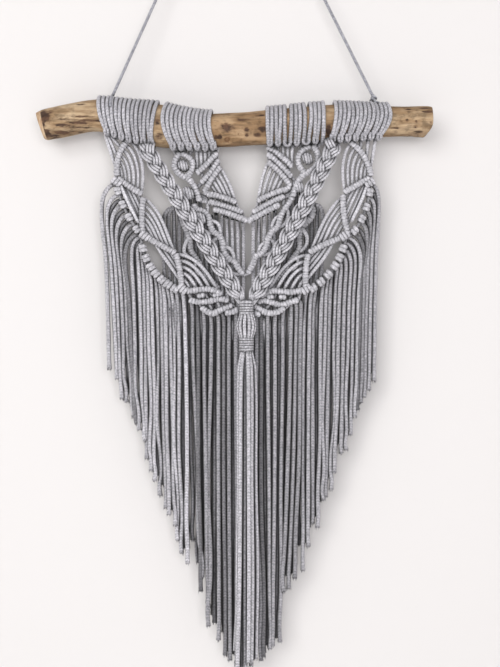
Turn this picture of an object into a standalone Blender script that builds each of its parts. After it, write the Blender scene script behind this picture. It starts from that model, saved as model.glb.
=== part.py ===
"""Macrame wall hanging on a branch.

A cord that hangs on a nail carries a driftwood branch. Braided cotton cords are looped over the
branch in four groups, the headings, and knotted below it into two outer panels and a collar
whose halves meet in a V. Two plaits run down in front to a gathering wrap with a tassel, and
fringes hang from the edges.

Axes: +Z up, +X to the right as the front is seen, +Y towards the wall. The origin is the top of
the hanging cord, on the nail. Tables give places in millimetres: x from the origin, and drop, how
far a point lies below the level of the branch. Depth is Y, with less of it nearer the viewer.
"""
import math

import bpy
import bmesh
from mathutils import Vector

MM = 0.001
GAP = 0.3
WOOD_GAP = 0.8

# Driving sizes, mm.
BRANCH_DROP = 306.0
BRANCH_DEPTH = -26.0
CORD_RADIUS = 2.1
EDGE_RADIUS = 2.4
FRINGE_RADIUS = 2.0
CHAIN_RADIUS = 1.9
CHAIN_LIFT = 0.4
# Turn of each kind of cord's square section, in radians, so that no two faces lie in one plane.
CORD_TILT = 0.20
BAR_TILT = 0.05
CHAIN_TILT = 0.45
BAR_RADIUS = 3.3
RIDGE_HEIGHT = 0.5
RIDGE_PITCH = 7.0
WEAVE_STEP = 0.07  # how far crossing cords lie off one another in depth
WEAVE_LAYERS = 7
HANGER_RADIUS = 1.5
NAIL_RADIUS = 3.0
ROUND_SIDES = 12
BRANCH_STATIONS = 28
KEEP = 0.58  # share of a knotted piece's triangles that stays once nearly flat ones are merged

# Depths of the layers, front to back, mm.
PANEL_DEPTH = -30.0
BAR_REACH = BAR_RADIUS + RIDGE_HEIGHT
STRIP_RADIUS = 2.6  # the strip of edge knots that a fringe hangs from
FRINGE_DEPTH = PANEL_DEPTH + BAR_REACH + GAP + STRIP_RADIUS
BACK_FRINGE_DEPTH = FRINGE_DEPTH + STRIP_RADIUS + GAP + CORD_RADIUS
PLAIT_STRAND_RADIUS = 3.1
PLAIT_SWING = 4.0
PLAIT_LIFT = 2.9
PLAIT_PERIOD = 34.0
PLAIT_DEPTH = PANEL_DEPTH - BAR_REACH - GAP - PLAIT_LIFT - PLAIT_STRAND_RADIUS

COTTON_GREY = (0.50, 0.50, 0.54)
DRIFTWOOD = (0.50, 0.31, 0.14)


# ---------------------------------------------------------------- tables

# The branch, from its left end to its right one.
BRANCH_SECTIONS = [
    # x, drop, diameter
    dict(x=-196.0, drop=1.5, diameter=29.0),
    dict(x=-176.0, drop=-3.0, diameter=33.0),
    dict(x=-138.0, drop=-9.0, diameter=32.0),
    dict(x=-106.0, drop=-3.5, diameter=37.0),
    dict(x=-76.0, drop=1.5, diameter=42.5),
    dict(x=-50.0, drop=5.0, diameter=37.5),
    dict(x=-24.0, drop=6.0, diameter=33.5),
    dict(x=29.0, drop=3.0, diameter=34.0),
    dict(x=94.0, drop=-2.0, diameter=35.5),
    dict(x=155.0, drop=-3.3, diameter=29.5),
    dict(x=196.0, drop=-2.5, diameter=31.0),
]
BRANCH_END_SLANT = dict(left=0.30, right=0.28)
BRANCH_END_LENGTH = 14.0

# The headings: how many turns of cord lie side by side, and the x of each edge on top of the
# branch, at its front and under it. Slits are where the wood shows between turns.
HEADINGS = {
    "left_outer": dict(turns=14, left=(-138.5, -138.0, -128.0), right=(-77.0, -80.5, -80.0), slits=()),
    "left_collar": dict(turns=12, left=(-70.0, -73.5, -64.0), right=(-23.0, -24.5, -17.0), slits=()),
    "right_collar": dict(turns=13, left=(29.5, 29.5, 29.0), right=(88.5, 89.0, 86.5), slits=(5, 9)),
    "right_outer": dict(turns=14, left=(97.0, 97.0, 91.0), right=(152.5, 155.0, 144.0), slits=()),
}
HEADING_THICKNESS = 4.2
HEADING_GROOVE = 1.2
SLIT_THICKNESS = 1.0
SLEEVE_WALL = 1.0  # added to a sleeve's heights while it is turned, so that none is zero
CLEARING = 1.5 * GAP  # between a heading and the cords that are knotted below it

# Ridged bars of hitches. bow is how far the middle lies off the straight line between the ends,
# to the right of a falling bar.
BARS = {
    "left_outer": [
        dict(name="1", x=-106.5, drop=14.0, to_x=-119.0, to_drop=52.0, bow=-4.5),
        dict(name="2", x=-118.0, drop=54.0, to_x=-94.0, to_drop=70.0, bow=-1.0),
        dict(name="3", x=-92.5, drop=74.0, to_x=-93.0, to_drop=110.0, bow=-1.5),
        dict(name="4", x=-90.0, drop=113.0, to_x=-61.0, to_drop=129.0, bow=0.0),
        dict(name="5", x=-60.0, drop=130.0, to_x=-54.5, to_drop=162.0, bow=1.0),
        dict(name="6", x=-52.5, drop=165.0, to_x=-15.0, to_drop=170.5, bow=0.5),
        dict(name="7", x=-46.0, drop=176.0, to_x=-6.0, to_drop=177.0, bow=0.5),
        dict(name="8", x=-35.0, drop=183.0, to_x=-5.0, to_drop=181.0, bow=-5.5),
    ],
    "left_collar": [
        dict(name="a", x=-19.0, drop=29.0, to_x=-39.0, to_drop=49.0, bow=1.0),
        dict(name="b", x=-17.5, drop=36.0, to_x=-34.5, to_drop=59.0, bow=1.0),
        dict(name="c", x=-16.0, drop=43.0, to_x=-30.5, to_drop=66.0, bow=-1.0),
        dict(name="d", x=-30.0, drop=70.0, to_x=3.0, to_drop=80.0, bow=1.0),
        dict(name="e", x=-32.0, drop=77.0, to_x=7.0, to_drop=88.5, bow=0.5),
        dict(name="f", x=-28.0, drop=83.0, to_x=10.5, to_drop=96.5, bow=1.0),
        dict(name="diamond_left", x=-56.0, drop=29.0, to_x=-50.0, to_drop=54.0, bow=-8.5),
        dict(name="diamond_right", x=-54.5, drop=29.5, to_x=-48.0, to_drop=52.5, bow=8.0),
        dict(name="cross", x=-51.0, drop=51.0, to_x=-36.5, to_drop=77.0, bow=2.5),
    ],
    "right_collar": [
        dict(name="a", x=31.5, drop=23.0, to_x=56.0, to_drop=43.0, bow=1.0),
        dict(name="b", x=31.5, drop=30.0, to_x=55.0, to_drop=53.0, bow=1.0),
        dict(name="c", x=32.0, drop=38.0, to_x=53.0, to_drop=60.0, bow=1.5),
        dict(name="d", x=51.5, drop=65.0, to_x=20.5, to_drop=78.0, bow=-1.0),
        dict(name="e", x=49.0, drop=71.5, to_x=17.0, to_drop=89.5, bow=0.5),
        dict(name="f", x=45.5, drop=79.5, to_x=11.5, to_drop=98.0, bow=0.5),
        dict(name="diamond_left", x=74.0, drop=22.0, to_x=68.0, to_drop=49.0, bow=-9.0),
        dict(name="diamond_right", x=77.0, drop=21.5, to_x=69.0, to_drop=50.0, bow=9.0),
        dict(name="cross", x=69.5, drop=49.0, to_x=57.0, to_drop=72.0, bow=-2.5),
    ],
    "right_outer": [
        dict(name="1", x=114.5, drop=18.0, to_x=135.0, to_drop=52.0, bow=4.0),
        dict(name="2", x=133.5, drop=54.0, to_x=108.0, to_drop=68.5, bow=0.0),
        dict(name="3", x=107.0, drop=71.0, to_x=112.5, to_drop=110.0, bow=-2.0),
        dict(name="4", x=110.5, drop=112.5, to_x=73.5, to_drop=128.5, bow=-1.5),
        dict(name="5", x=72.0, drop=130.5, to_x=69.5, to_drop=163.0, bow=-1.0),
        dict(name="6", x=68.5, drop=166.5, to_x=29.5, to_drop=169.5, bow=0.0),
        dict(name="7", x=63.5, drop=178.0, to_x=22.0, to_drop=177.5, bow=1.0),
        dict(name="8", x=49.5, drop=184.5, to_x=19.0, to_drop=182.0, bow=3.5),
    ],
}

# Cords between two bars, or from a heading to a bar, or along an open edge. They are spread evenly
# from the first pair of places to the last: a share of the upper piece's length, then a share of
# the lower one's. bow runs from the first cord's to the last one's.
FANS = {
    "left_outer": [
        dict(upper="heading", lower="1", count=3, first=(0.15, 0.05), last=(0.02, 0.85), bow=(1.0, -2.0)),
        dict(upper="1", lower="2", count=4, first=(0.10, 0.95), last=(0.62, 0.25), bow=(3.5, 3.0)),
        dict(upper="2", lower="3", count=4, first=(0.12, 0.85), last=(0.80, 0.12), bow=(0.0, 0.0)),
        dict(upper="3", lower="4", count=5, first=(0.06, 0.92), last=(0.78, 0.18), bow=(3.0, 1.5)),
        dict(upper="4", lower="5", count=3, first=(0.20, 0.80), last=(0.75, 0.25), bow=(-1.0, -1.0)),
        dict(upper="5", lower="6", count=5, first=(0.08, 0.90), last=(0.85, 0.15), bow=(4.5, 2.5)),
        dict(upper="6", lower="7", count=3, first=(0.10, 0.05), last=(0.90, 0.85), bow=(0.0, 0.0)),
        dict(upper="7", lower="8", count=3, first=(0.20, 0.05), last=(0.90, 0.95), bow=(0.0, 0.0)),
    ],
    "left_collar": [
        dict(upper="heading", lower="a", count=5, first=(0.97, 0.05), last=(0.55, 0.95), bow=(0.0, -1.5)),
        dict(upper="heading", lower="diamond_left", count=2, first=(0.05, 0.1), last=(0.2, 0.0), bow=(0, 0)),
        dict(upper="a", lower="b", count=2, first=(0.05, 0.05), last=(0.9, 0.8), bow=(0.0, 0.0)),
        dict(upper="b", lower="c", count=2, first=(0.05, 0.05), last=(0.9, 0.8), bow=(0.0, 0.0)),
        dict(upper="c", lower="d", count=4, first=(0.02, 0.95), last=(0.65, 0.40), bow=(2.5, 1.5)),
        dict(upper="c", lower="d", count=1, first=(0.95, 0.05), last=(0.95, 0.05), bow=(0.0, 0.0)),
        dict(upper="d", lower="e", count=2, first=(0.1, 0.15), last=(0.97, 0.9), bow=(0.0, 0.0)),
        dict(upper="e", lower="f", count=2, first=(0.1, 0.1), last=(0.97, 0.9), bow=(0.0, 0.0)),
        dict(upper="b", lower="cross", count=1, first=(0.95, 0.6), last=(0.95, 0.6), bow=(0.0, 0.0)),
        dict(upper="cross", lower="e", count=1, first=(0.95, 0.02), last=(0.95, 0.02), bow=(0.0, 0.0)),
    ],
    "right_collar": [
        dict(upper="heading", lower="a", count=5, first=(0.07, 0.05), last=(0.45, 0.95), bow=(0.0, 1.5)),
        dict(upper="heading", lower="diamond_right", count=2, first=(0.95, 0.1), last=(0.82, 0.0), bow=(0, 0)),
        dict(upper="a", lower="b", count=2, first=(0.05, 0.05), last=(0.9, 0.85), bow=(0.0, 0.0)),
        dict(upper="b", lower="c", count=2, first=(0.05, 0.05), last=(0.9, 0.85), bow=(0.0, 0.0)),
        dict(upper="c", lower="d", count=4, first=(0.02, 0.95), last=(0.65, 0.40), bow=(-2.5, -1.5)),
        dict(upper="c", lower="d", count=1, first=(0.95, 0.05), last=(0.95, 0.05), bow=(0.0, 0.0)),
        dict(upper="d", lower="e", count=2, first=(0.1, 0.15), last=(0.97, 0.9), bow=(0.0, 0.0)),
        dict(upper="e", lower="f", count=2, first=(0.1, 0.1), last=(0.97, 0.9), bow=(0.0, 0.0)),
        dict(upper="b", lower="cross", count=1, first=(0.95, 0.5), last=(0.95, 0.5), bow=(0.0, 0.0)),
        dict(upper="cross", lower="e", count=1, first=(0.95, 0.02), last=(0.95, 0.02), bow=(0.0, 0.0)),
    ],
    "right_outer": [
        dict(upper="heading", lower="1", count=3, first=(0.55, 0.05), last=(0.90, 0.88), bow=(-1.0, 2.0)),
        dict(upper="1", lower="2", count=4, first=(0.06, 0.92), last=(0.65, 0.28), bow=(-2.0, -1.0)),
        dict(upper="2", lower="3", count=4, first=(0.15, 0.80), last=(0.80, 0.15), bow=(0.0, 0.0)),
        dict(upper="3", lower="4", count=5, first=(0.14, 0.88), last=(0.84, 0.20), bow=(-3.0, -1.5)),
        dict(upper="4", lower="5", count=3, first=(0.35, 0.75), last=(0.80, 0.20), bow=(1.0, 1.0)),
        dict(upper="5", lower="6", count=5, first=(0.05, 0.90), last=(0.82, 0.15), bow=(-5.0, -2.5)),
        dict(upper="6", lower="7", count=3, first=(0.10, 0.05), last=(0.90, 0.85), bow=(0.0, 0.0)),
        dict(upper="7", lower="8", count=3, first=(0.20, 0.05), last=(0.90, 0.95), bow=(0.0, 0.0)),
    ],
}

# The cords that edge the outer panels, where the fringe is knotted on.
EDGES = {
    "left_outer": [
        dict(name="upper", x=-119.5, drop=60.0, to_x=-93.0, to_drop=113.0, bow=-3.5),
        dict(name="lower", x=-95.0, drop=113.0, to_x=-53.0, to_drop=168.0, bow=-8.0),
    ],
    "right_outer": [
        dict(name="upper", x=133.5, drop=60.0, to_x=113.0, to_drop=113.0, bow=5.5),
        dict(name="lower", x=110.0, drop=113.0, to_x=70.0, to_drop=168.0, bow=6.5),
    ],
}

# Chains of two cords that cross again and again, one on each side of a plait.
CHAINS = {
    "left_collar": [
        dict(x=-43.0, drop=68.0, to_x=8.8, to_drop=152.3, waves=4, swing=3.6),
        dict(x=-52.0, drop=70.0, to_x=-16.0, to_drop=156.0, waves=2, swing=4.5),
    ],
    "right_collar": [
        dict(x=58.0, drop=66.0, to_x=12.1, to_drop=150.1, waves=4, swing=3.6),
        dict(x=72.0, drop=70.0, to_x=38.0, to_drop=148.0, waves=2, swing=4.5),
    ],
}

# Cords that pass under a plait and link the chains on its two sides.
LINKS = {
    "left_collar": [
        dict(x=-55.0, drop=30.5, to_x=-50.0, to_drop=52.0, bow=0.0),
        dict(x=-49.0, drop=50.0, to_x=-52.0, to_drop=72.0, bow=0.0),
        dict(x=-28.5, drop=91.0, to_x=-44.0, to_drop=96.0, bow=0.0),
        dict(x=-4.0, drop=130.0, to_x=-25.0, to_drop=134.0, bow=0.0),
    ],
    "right_collar": [
        dict(x=75.5, drop=23.0, to_x=68.5, to_drop=49.0, bow=0.0),
        dict(x=67.0, drop=50.0, to_x=72.0, to_drop=72.0, bow=0.0),
        dict(x=46.5, drop=87.0, to_x=63.0, to_drop=90.0, bow=0.0),
        dict(x=23.5, drop=128.0, to_x=46.0, to_drop=130.0, bow=0.0),
    ],
}

# Round berry knots inside the collars' diamonds.
BERRIES = {
    "left_collar": dict(x=-53.5, drop=41.5),
    "right_collar": dict(x=71.5, drop=34.0),
}
BERRY_RADIUS = 5.0

PLAITS = {
    "left": dict(x=-87.5, drop=20.0, to_x=4.0, to_drop=172.5, bow=-4.5),
    "right": dict(x=97.0, drop=18.6, to_x=17.5, to_drop=172.5, bow=0.7),
}

TASSEL_X = 10.5
# The gathering wraps and the bulb of cords between them, from the top down.
TASSEL_HEAD = [
    dict(drop=177.0, radius=6.7, turns=4),
    dict(drop=191.0, radius=7.0, turns=0),
    dict(drop=203.0, radius=10.0, turns=0),
    dict(drop=214.0, radius=7.2, turns=4),
    dict(drop=226.5, radius=7.2, turns=0),
]
TASSEL_TIP_DROP = 541.0
TASSEL_TIP_STEP = 6.0  # how much shorter the cords at the back are, halved
TASSEL_ROOT_DEPTH = 4.0  # how far the cords reach up into the lower wrap
TASSEL_SWELL_DROP = 30.0
TASSEL_FLATNESS = 0.7  # depth of the tassel against its width
# Rings of cords, with their radius in the wrap, just below it and at the tips.
TASSEL_RINGS = [
    dict(count=7, root=4.6, radius=6.8, tip=9.4),
    dict(count=1, root=0.0, radius=0.0, tip=0.0),
]

# Each fringe: the lines that it is knotted to, and where its first and last cord hang.
FRINGES = {
    "left_outer": [
        dict(root=("edge", "upper"), shares=(0.03, 0.93), count=9, hang=(-134.5, -99.5)),
        dict(root=("edge", "lower"), shares=(0.10, 0.97), count=10, hang=(-94.5, -53.5)),
    ],
    "left_inner": [
        dict(root=("bar", "7"), shares=(0.03, 0.22), count=2, hang=(-48.0, -42.5)),
        dict(root=("bar", "8"), shares=(0.04, 0.96), count=7, hang=(-37.5, -2.5)),
    ],
    "right_inner": [
        dict(root=("bar", "8"), shares=(0.96, 0.04), count=6, hang=(22.5, 50.5)),
        dict(root=("bar", "7"), shares=(0.28, 0.04), count=2, hang=(56.0, 61.5)),
    ],
    "right_outer": [
        dict(root=("edge", "lower"), shares=(0.97, 0.10), count=9, hang=(69.5, 109.5)),
        dict(root=("edge", "upper"), shares=(0.93, 0.03), count=8, hang=(114.5, 144.0)),
    ],
}

# Where the back fringe is knotted on: beside the outer panels, down the lower chains and along
# the lowest bars of the collars.
BACK_ROOTS = [
    dict(x=-70.0, drop=82.0),
    dict(x=-57.0, drop=83.0),
    dict(x=-47.0, drop=108.0),
    dict(x=-21.0, drop=152.0),
    dict(x=-19.0, drop=90.0),
    dict(x=10.5, drop=98.0),
    dict(x=39.5, drop=86.0),
    dict(x=41.5, drop=148.0),
    dict(x=62.0, drop=112.0),
    dict(x=71.0, drop=84.0),
    dict(x=88.0, drop=80.0),
]
BACK_STRIPS = [(0, 1, 2, 3), (4, 5, 6), (7, 8, 9, 10)]
BACK_TIES = [dict(x=-20.0, drop=88.0, to_drop=156.0), dict(x=40.5, drop=84.0, to_drop=152.0)]
BACK_FRINGE = dict(count=26, hang=(-67.5, 85.5), lift=22.0)

# The lower outline of the fringe.
TIP_LINE = [
    dict(x=-128.0, drop=245.0),
    dict(x=-112.0, drop=276.0),
    dict(x=-97.0, drop=305.0),
    dict(x=-85.0, drop=352.0),
    dict(x=-70.0, drop=384.0),
    dict(x=-55.0, drop=428.0),
    dict(x=-36.0, drop=460.0),
    dict(x=-28.0, drop=500.0),
    dict(x=-10.0, drop=532.0),
    dict(x=0.0, drop=542.0),
    dict(x=26.0, drop=540.0),
    dict(x=42.0, drop=518.0),
    dict(x=58.0, drop=462.0),
    dict(x=72.0, drop=430.0),
    dict(x=85.0, drop=398.0),
    dict(x=98.0, drop=350.0),
    dict(x=111.0, drop=324.0),
    dict(x=124.0, drop=282.0),
    dict(x=140.0, drop=256.0),
]
FRINGE_GATHER = 0.06  # how much nearer to the tassel a cord's tip lies than its top, as a share

# The lower ends of the hanging cord's legs, between the turns of the end headings.
HANGER = [
    dict(x=-124.5, drop=-22.0),
    dict(x=138.0, drop=-18.5),
]
NAIL_ANGLE = 0.41  # where the legs leave the bend over the nail, in radians above level
NAIL_STEPS = 6
HANGER_KNOT = dict(x=137.5, drop=-24.5, radius=3.4)


# ---------------------------------------------------------------- places and small tools

def place(x, drop, depth):
    """The point at x and drop, in metres, at a given depth."""
    return Vector((x, depth, -(BRANCH_DROP + drop))) * MM


def between(rows, x, column):
    """Reads a column of a table at x, on a smooth curve through its rows."""
    last = len(rows) - 1
    if x <= rows[0]["x"]:
        return rows[0][column]
    if x >= rows[last]["x"]:
        return rows[last][column]
    index = max(i for i in range(last) if rows[i]["x"] <= x)
    low, high = rows[index], rows[index + 1]
    before, after = rows[max(index - 1, 0)], rows[min(index + 2, last)]
    span = high["x"] - low["x"]
    share = (x - low["x"]) / span
    slope_low = (high[column] - before[column]) / (high["x"] - before["x"]) * span
    slope_high = (after[column] - low[column]) / (after["x"] - low["x"]) * span
    s2, s3 = share ** 2, share ** 3
    return ((2 * s3 - 3 * s2 + 1) * low[column] + (s3 - 2 * s2 + share) * slope_low
            + (3 * s2 - 2 * s3) * high[column] + (s3 - s2) * slope_high)


def straight_between(rows, x, column):
    """Reads a column of a table at x, on straight lines between its rows."""
    for low, high in zip(rows, rows[1:]):
        if x <= high["x"]:
            share = max(0.0, (x - low["x"]) / (high["x"] - low["x"]))
            return low[column] + share * (high[column] - low[column])
    return rows[-1][column]


def bowed(row, share):
    """The x and drop at a share of the length of a bowed line."""
    run, fall = row["to_x"] - row["x"], row["to_drop"] - row["drop"]
    length = math.hypot(run, fall)
    off = row["bow"] * 4 * share * (1 - share)
    return row["x"] + run * share + off * fall / length, row["drop"] + fall * share - off * run / length


def line_length(row):
    """The length of a bowed line's chord."""
    return math.hypot(row["to_x"] - row["x"], row["to_drop"] - row["drop"])


def collection(name, hidden=False):
    """A new collection in the scene, with its helpers hidden if asked."""
    group = bpy.data.collections.new(name)
    bpy.context.scene.collection.children.link(group)
    group.hide_render = hidden
    return group


def material(name, colour, roughness):
    """A plain Principled material."""
    made = bpy.data.materials.new(name)
    made.use_nodes = True
    shader = made.node_tree.nodes["Principled BSDF"]
    shader.inputs["Base Color"].default_value = (*colour, 1.0)
    shader.inputs["Roughness"].default_value = roughness
    shader.inputs["Metallic"].default_value = 0.0
    return made


def as_mesh(source, group, weld=0.01):
    """Turns a curve or a modified object into a mesh object, and welds points less than weld mm apart."""
    bpy.context.view_layer.update()
    evaluated = source.evaluated_get(bpy.context.evaluated_depsgraph_get())
    mesh = bpy.data.meshes.new_from_object(evaluated)
    work = bmesh.new()
    work.from_mesh(mesh)
    if weld:
        bmesh.ops.remove_doubles(work, verts=work.verts, dist=weld * MM)
        bmesh.ops.recalc_face_normals(work, faces=work.faces)
    work.to_mesh(mesh)
    work.free()
    name, matrix = source.name, source.matrix_world.copy()
    bpy.data.objects.remove(source)
    result = bpy.data.objects.new(name, mesh)
    result.matrix_world = matrix
    group.objects.link(result)
    return result


def cord(name, points, radii, group, resolution=0, tilt=CORD_TILT):
    """A closed tube through points in metres, with a radius in mm for each of them."""
    curve = bpy.data.curves.new(name, "CURVE")
    curve.dimensions = "3D"
    curve.bevel_depth = MM
    curve.bevel_resolution = resolution
    curve.use_fill_caps = True
    spline = curve.splines.new("POLY")
    spline.points.add(len(points) - 1)
    for target, point, radius in zip(spline.points, points, radii):
        target.co = (*point, 1.0)
        target.radius = radius
        target.tilt = tilt
    source = bpy.data.objects.new(name, curve)
    bpy.context.scene.collection.objects.link(source)
    return as_mesh(source, group)


def fuse(name, pieces, finish, group, cutters=(), keep=1.0):
    """One solid of all the pieces, less the space of the cutters."""
    body, others = pieces[0], pieces[1:]
    operands = collection("pieces_of_" + name, hidden=True)
    for other in others:
        for owner in other.users_collection:
            owner.objects.unlink(other)
        operands.objects.link(other)
    union = body.modifiers.new("fused", "BOOLEAN")
    union.operation = "UNION"
    union.operand_type = "COLLECTION"
    union.collection = operands
    union.solver = "EXACT"
    for cutter in cutters:
        trim = body.modifiers.new("cut", "BOOLEAN")
        trim.operation = "DIFFERENCE"
        trim.object = cutter
        trim.solver = "EXACT"
    if keep < 1.0:
        merge = body.modifiers.new("merged", "DECIMATE")
        merge.ratio = keep
    body.name = name
    fused = as_mesh(body, group, weld=0.0)
    for other in others:
        bpy.data.objects.remove(other)
    bpy.data.collections.remove(operands)
    fused.data.materials.clear()
    fused.data.materials.append(finish)
    return fused


# ---------------------------------------------------------------- branch and headings

def turned(name, profile, closed, group):
    """Turns a profile of (x, radius) rows in mm about the X axis, with the Screw modifier."""
    mesh = bpy.data.meshes.new(name)
    edges = [(i, i + 1) for i in range(len(profile) - 1)]
    if closed:
        edges.append((len(profile) - 1, 0))
    mesh.from_pydata([(x * MM, 0.0, radius * MM) for x, radius in profile], edges, [])
    source = bpy.data.objects.new(name, mesh)
    bpy.context.scene.collection.objects.link(source)
    screw = source.modifiers.new("turned", "SCREW")
    screw.axis = "X"
    screw.steps = ROUND_SIDES
    screw.render_steps = ROUND_SIDES
    screw.use_merge_vertices = True
    screw.merge_threshold = 0.01 * MM
    return as_mesh(source, group)


def bend_along_branch(piece, edge_left=None, edge_right=None):
    """Lays a turned piece around the branch.

    With edges given, its x is a share of the way from one leaning edge to the other, and its
    radius is the height above the wood plus the wall. Otherwise both are plain sizes. Points on
    the axis stay there.
    """
    for vertex in piece.data.vertices:
        x, across, up = (value / MM for value in vertex.co)
        radius = math.hypot(across, up)
        angle = math.atan2(across, up)
        on_axis = radius < 0.1
        if edge_left:
            height = 0.5 if on_axis else (1 - math.cos(angle)) / 2
            x = lean(edge_left, height) * (1 - x) + lean(edge_right, height) * x
            if not on_axis:
                radius += between(BRANCH_SECTIONS, x, "diameter") / 2 - SLEEVE_WALL
            up = radius * math.cos(angle)
            across = radius * math.sin(angle)
        drop = between(BRANCH_SECTIONS, x, "drop")
        vertex.co = place(x, drop, BRANCH_DEPTH) + Vector((0.0, across, up)) * MM


def lean(edge, height):
    """The x of a heading's edge: on top at height 0, in front at a half, underneath at 1."""
    top, front, bottom = edge
    return (top * (1 - height) * (1 - 2 * height) + front * 4 * height * (1 - height)
            + bottom * height * (2 * height - 1))


def branch_profile(margin=0.0):
    """The outline that the branch is turned from, with a margin all round it."""
    first, last = BRANCH_SECTIONS[0]["x"], BRANCH_SECTIONS[-1]["x"]
    profile = [(first, 0.0)]
    for step in range(BRANCH_STATIONS + 1):
        x = first + (last - first) * step / BRANCH_STATIONS
        profile.append((x, between(BRANCH_SECTIONS, x, "diameter") / 2 + margin))
    return profile + [(last, 0.0)]


def make_branch(parts, finish):
    """The branch, with both ends sawn at a slant."""
    first, last = BRANCH_SECTIONS[0]["x"], BRANCH_SECTIONS[-1]["x"]
    branch = turned("branch", branch_profile(), False, parts)
    for vertex in branch.data.vertices:
        x, up = vertex.co.x / MM, vertex.co.z / MM
        near_left = max(0.0, 1 - (x - first) / BRANCH_END_LENGTH)
        near_right = max(0.0, 1 - (last - x) / BRANCH_END_LENGTH)
        slant = BRANCH_END_SLANT["left"] * near_left - BRANCH_END_SLANT["right"] * near_right
        vertex.co.x -= MM * up * slant
    bend_along_branch(branch)
    branch.data.materials.append(finish)
    return branch


def branch_block(group):
    """The block that keeps the knotted cords clear of the branch."""
    block = turned("clear_branch", branch_profile(margin=GAP), False, group)
    bend_along_branch(block)
    return block


def heading_profile(row):
    """Section of a heading: share of its width, and height above the wood plus the wall."""
    turns = row["turns"]
    profile = []
    for turn in range(turns):
        profile.append((turn / turns, HEADING_THICKNESS - HEADING_GROOVE))
        profile.append(((turn + 0.5) / turns, HEADING_THICKNESS))
        if turn + 1 in row["slits"]:
            profile.append(((turn + 0.85) / turns, HEADING_THICKNESS - HEADING_GROOVE))
            profile.append(((turn + 0.95) / turns, SLIT_THICKNESS))
            profile.append(((turn + 1.25) / turns, SLIT_THICKNESS))
    profile = [point for point in profile if not in_slit(point, row)]
    profile.append((1.0, HEADING_THICKNESS - HEADING_GROOVE))
    profile.sort()
    inner_points = 5
    inner = [(1 - step / inner_points, WOOD_GAP) for step in range(inner_points + 1)]
    return [(share, height + SLEEVE_WALL) for share, height in profile + inner]


def in_slit(point, row):
    """Whether a groove point falls on a slit, which has its own points."""
    return any(abs(point[0] * row["turns"] - slit) < 0.04 for slit in row["slits"])


def make_heading(name, row, parts, helpers, finish):
    """A ridged sleeve of cord turns around the branch, and the block that clears it."""
    sleeve = turned("heading_" + name, heading_profile(row), True, parts)
    bend_along_branch(sleeve, row["left"], row["right"])
    sleeve.data.materials.append(finish)
    outside = SLEEVE_WALL + HEADING_THICKNESS + CLEARING
    margin = CLEARING / (row["right"][1] - row["left"][1])
    steps = row["turns"]
    ring = [(-margin + (1 + 2 * margin) * step / steps, outside) for step in range(steps + 1)]
    left_face = [(-margin, 0.0), (-margin, SLEEVE_WALL / 2)]
    right_face = [(1 + margin, SLEEVE_WALL / 2), (1 + margin, 0.0)]
    block = turned("clear_" + name, left_face + ring + right_face, False, helpers)
    bend_along_branch(block, row["left"], row["right"])
    return block


# ---------------------------------------------------------------- knotted panels

def ridged_bar(row, group):
    """A bar of hitches: a thick cord with a ridge for each pair of turns."""
    ridges = max(3, round(line_length(row) / RIDGE_PITCH))
    points, radii = [], []
    for step in range(2 * ridges + 1):
        x, drop = bowed(row, step / (2 * ridges))
        points.append(place(x, drop, PANEL_DEPTH))
        radii.append(BAR_RADIUS + RIDGE_HEIGHT * (1 if step % 2 else -1))
    return cord("bar", points, radii, group, tilt=BAR_TILT)


def fan_lines(panel, fan, heading):
    """The lines of a fan's cords."""
    bars = {row["name"]: row for row in BARS[panel]}
    count = fan["count"]
    for index in range(count):
        share = index / (count - 1) if count > 1 else 0.0
        upper = fan["first"][0] + (fan["last"][0] - fan["first"][0]) * share
        lower = fan["first"][1] + (fan["last"][1] - fan["first"][1]) * share
        if fan["upper"] == "heading":
            x = heading["left"][2] + (heading["right"][2] - heading["left"][2]) * upper
            drop = between(BRANCH_SECTIONS, x, "drop") + between(BRANCH_SECTIONS, x, "diameter") / 2
            drop -= CORD_RADIUS
        else:
            x, drop = bowed(bars[fan["upper"]], upper)
        to_x, to_drop = bowed(bars[fan["lower"]], lower)
        bow = fan["bow"][0] + (fan["bow"][1] - fan["bow"][0]) * share
        yield dict(x=x, drop=drop, to_x=to_x, to_drop=to_drop, bow=bow)


def plain_cord(row, group, radius=CORD_RADIUS, depth=PANEL_DEPTH, steps=None):
    """A cord along a bowed line, with more points where it curves more."""
    steps = steps or 1 + min(2, round(abs(row["bow"])))
    points = [place(*bowed(row, step / steps), depth) for step in range(steps + 1)]
    return cord("cord", points, [radius] * len(points), group)


def chain_cords(row, group):
    """Two cords that swing apart and cross, all along a line."""
    made = []
    for side in (-1, 1):
        points = []
        steps = 3 * row["waves"]
        for step in range(steps + 1):
            share = step / steps
            swing = row["swing"] * side * math.sin(math.pi * row["waves"] * share)
            run, fall = row["to_x"] - row["x"], row["to_drop"] - row["drop"]
            length = math.hypot(run, fall)
            x = row["x"] + run * share + swing * fall / length
            drop = row["drop"] + fall * share - swing * run / length
            points.append(place(x, drop, PANEL_DEPTH + CHAIN_LIFT * side))
        made.append(cord("chain", points, [CHAIN_RADIUS] * len(points), group, tilt=CHAIN_TILT))
    return made


def round_knot(centre, radius, depth_radius, group):
    """A round knot, of another radius in depth."""
    work = bmesh.new()
    bmesh.ops.create_icosphere(work, subdivisions=1, radius=radius * MM)
    bmesh.ops.scale(work, verts=work.verts, vec=(1.0, depth_radius / radius, 1.0))
    bmesh.ops.translate(work, verts=work.verts, vec=centre)
    mesh = bpy.data.meshes.new("knot")
    work.to_mesh(mesh)
    work.free()
    made = bpy.data.objects.new("knot", mesh)
    group.objects.link(made)
    return made


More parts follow.
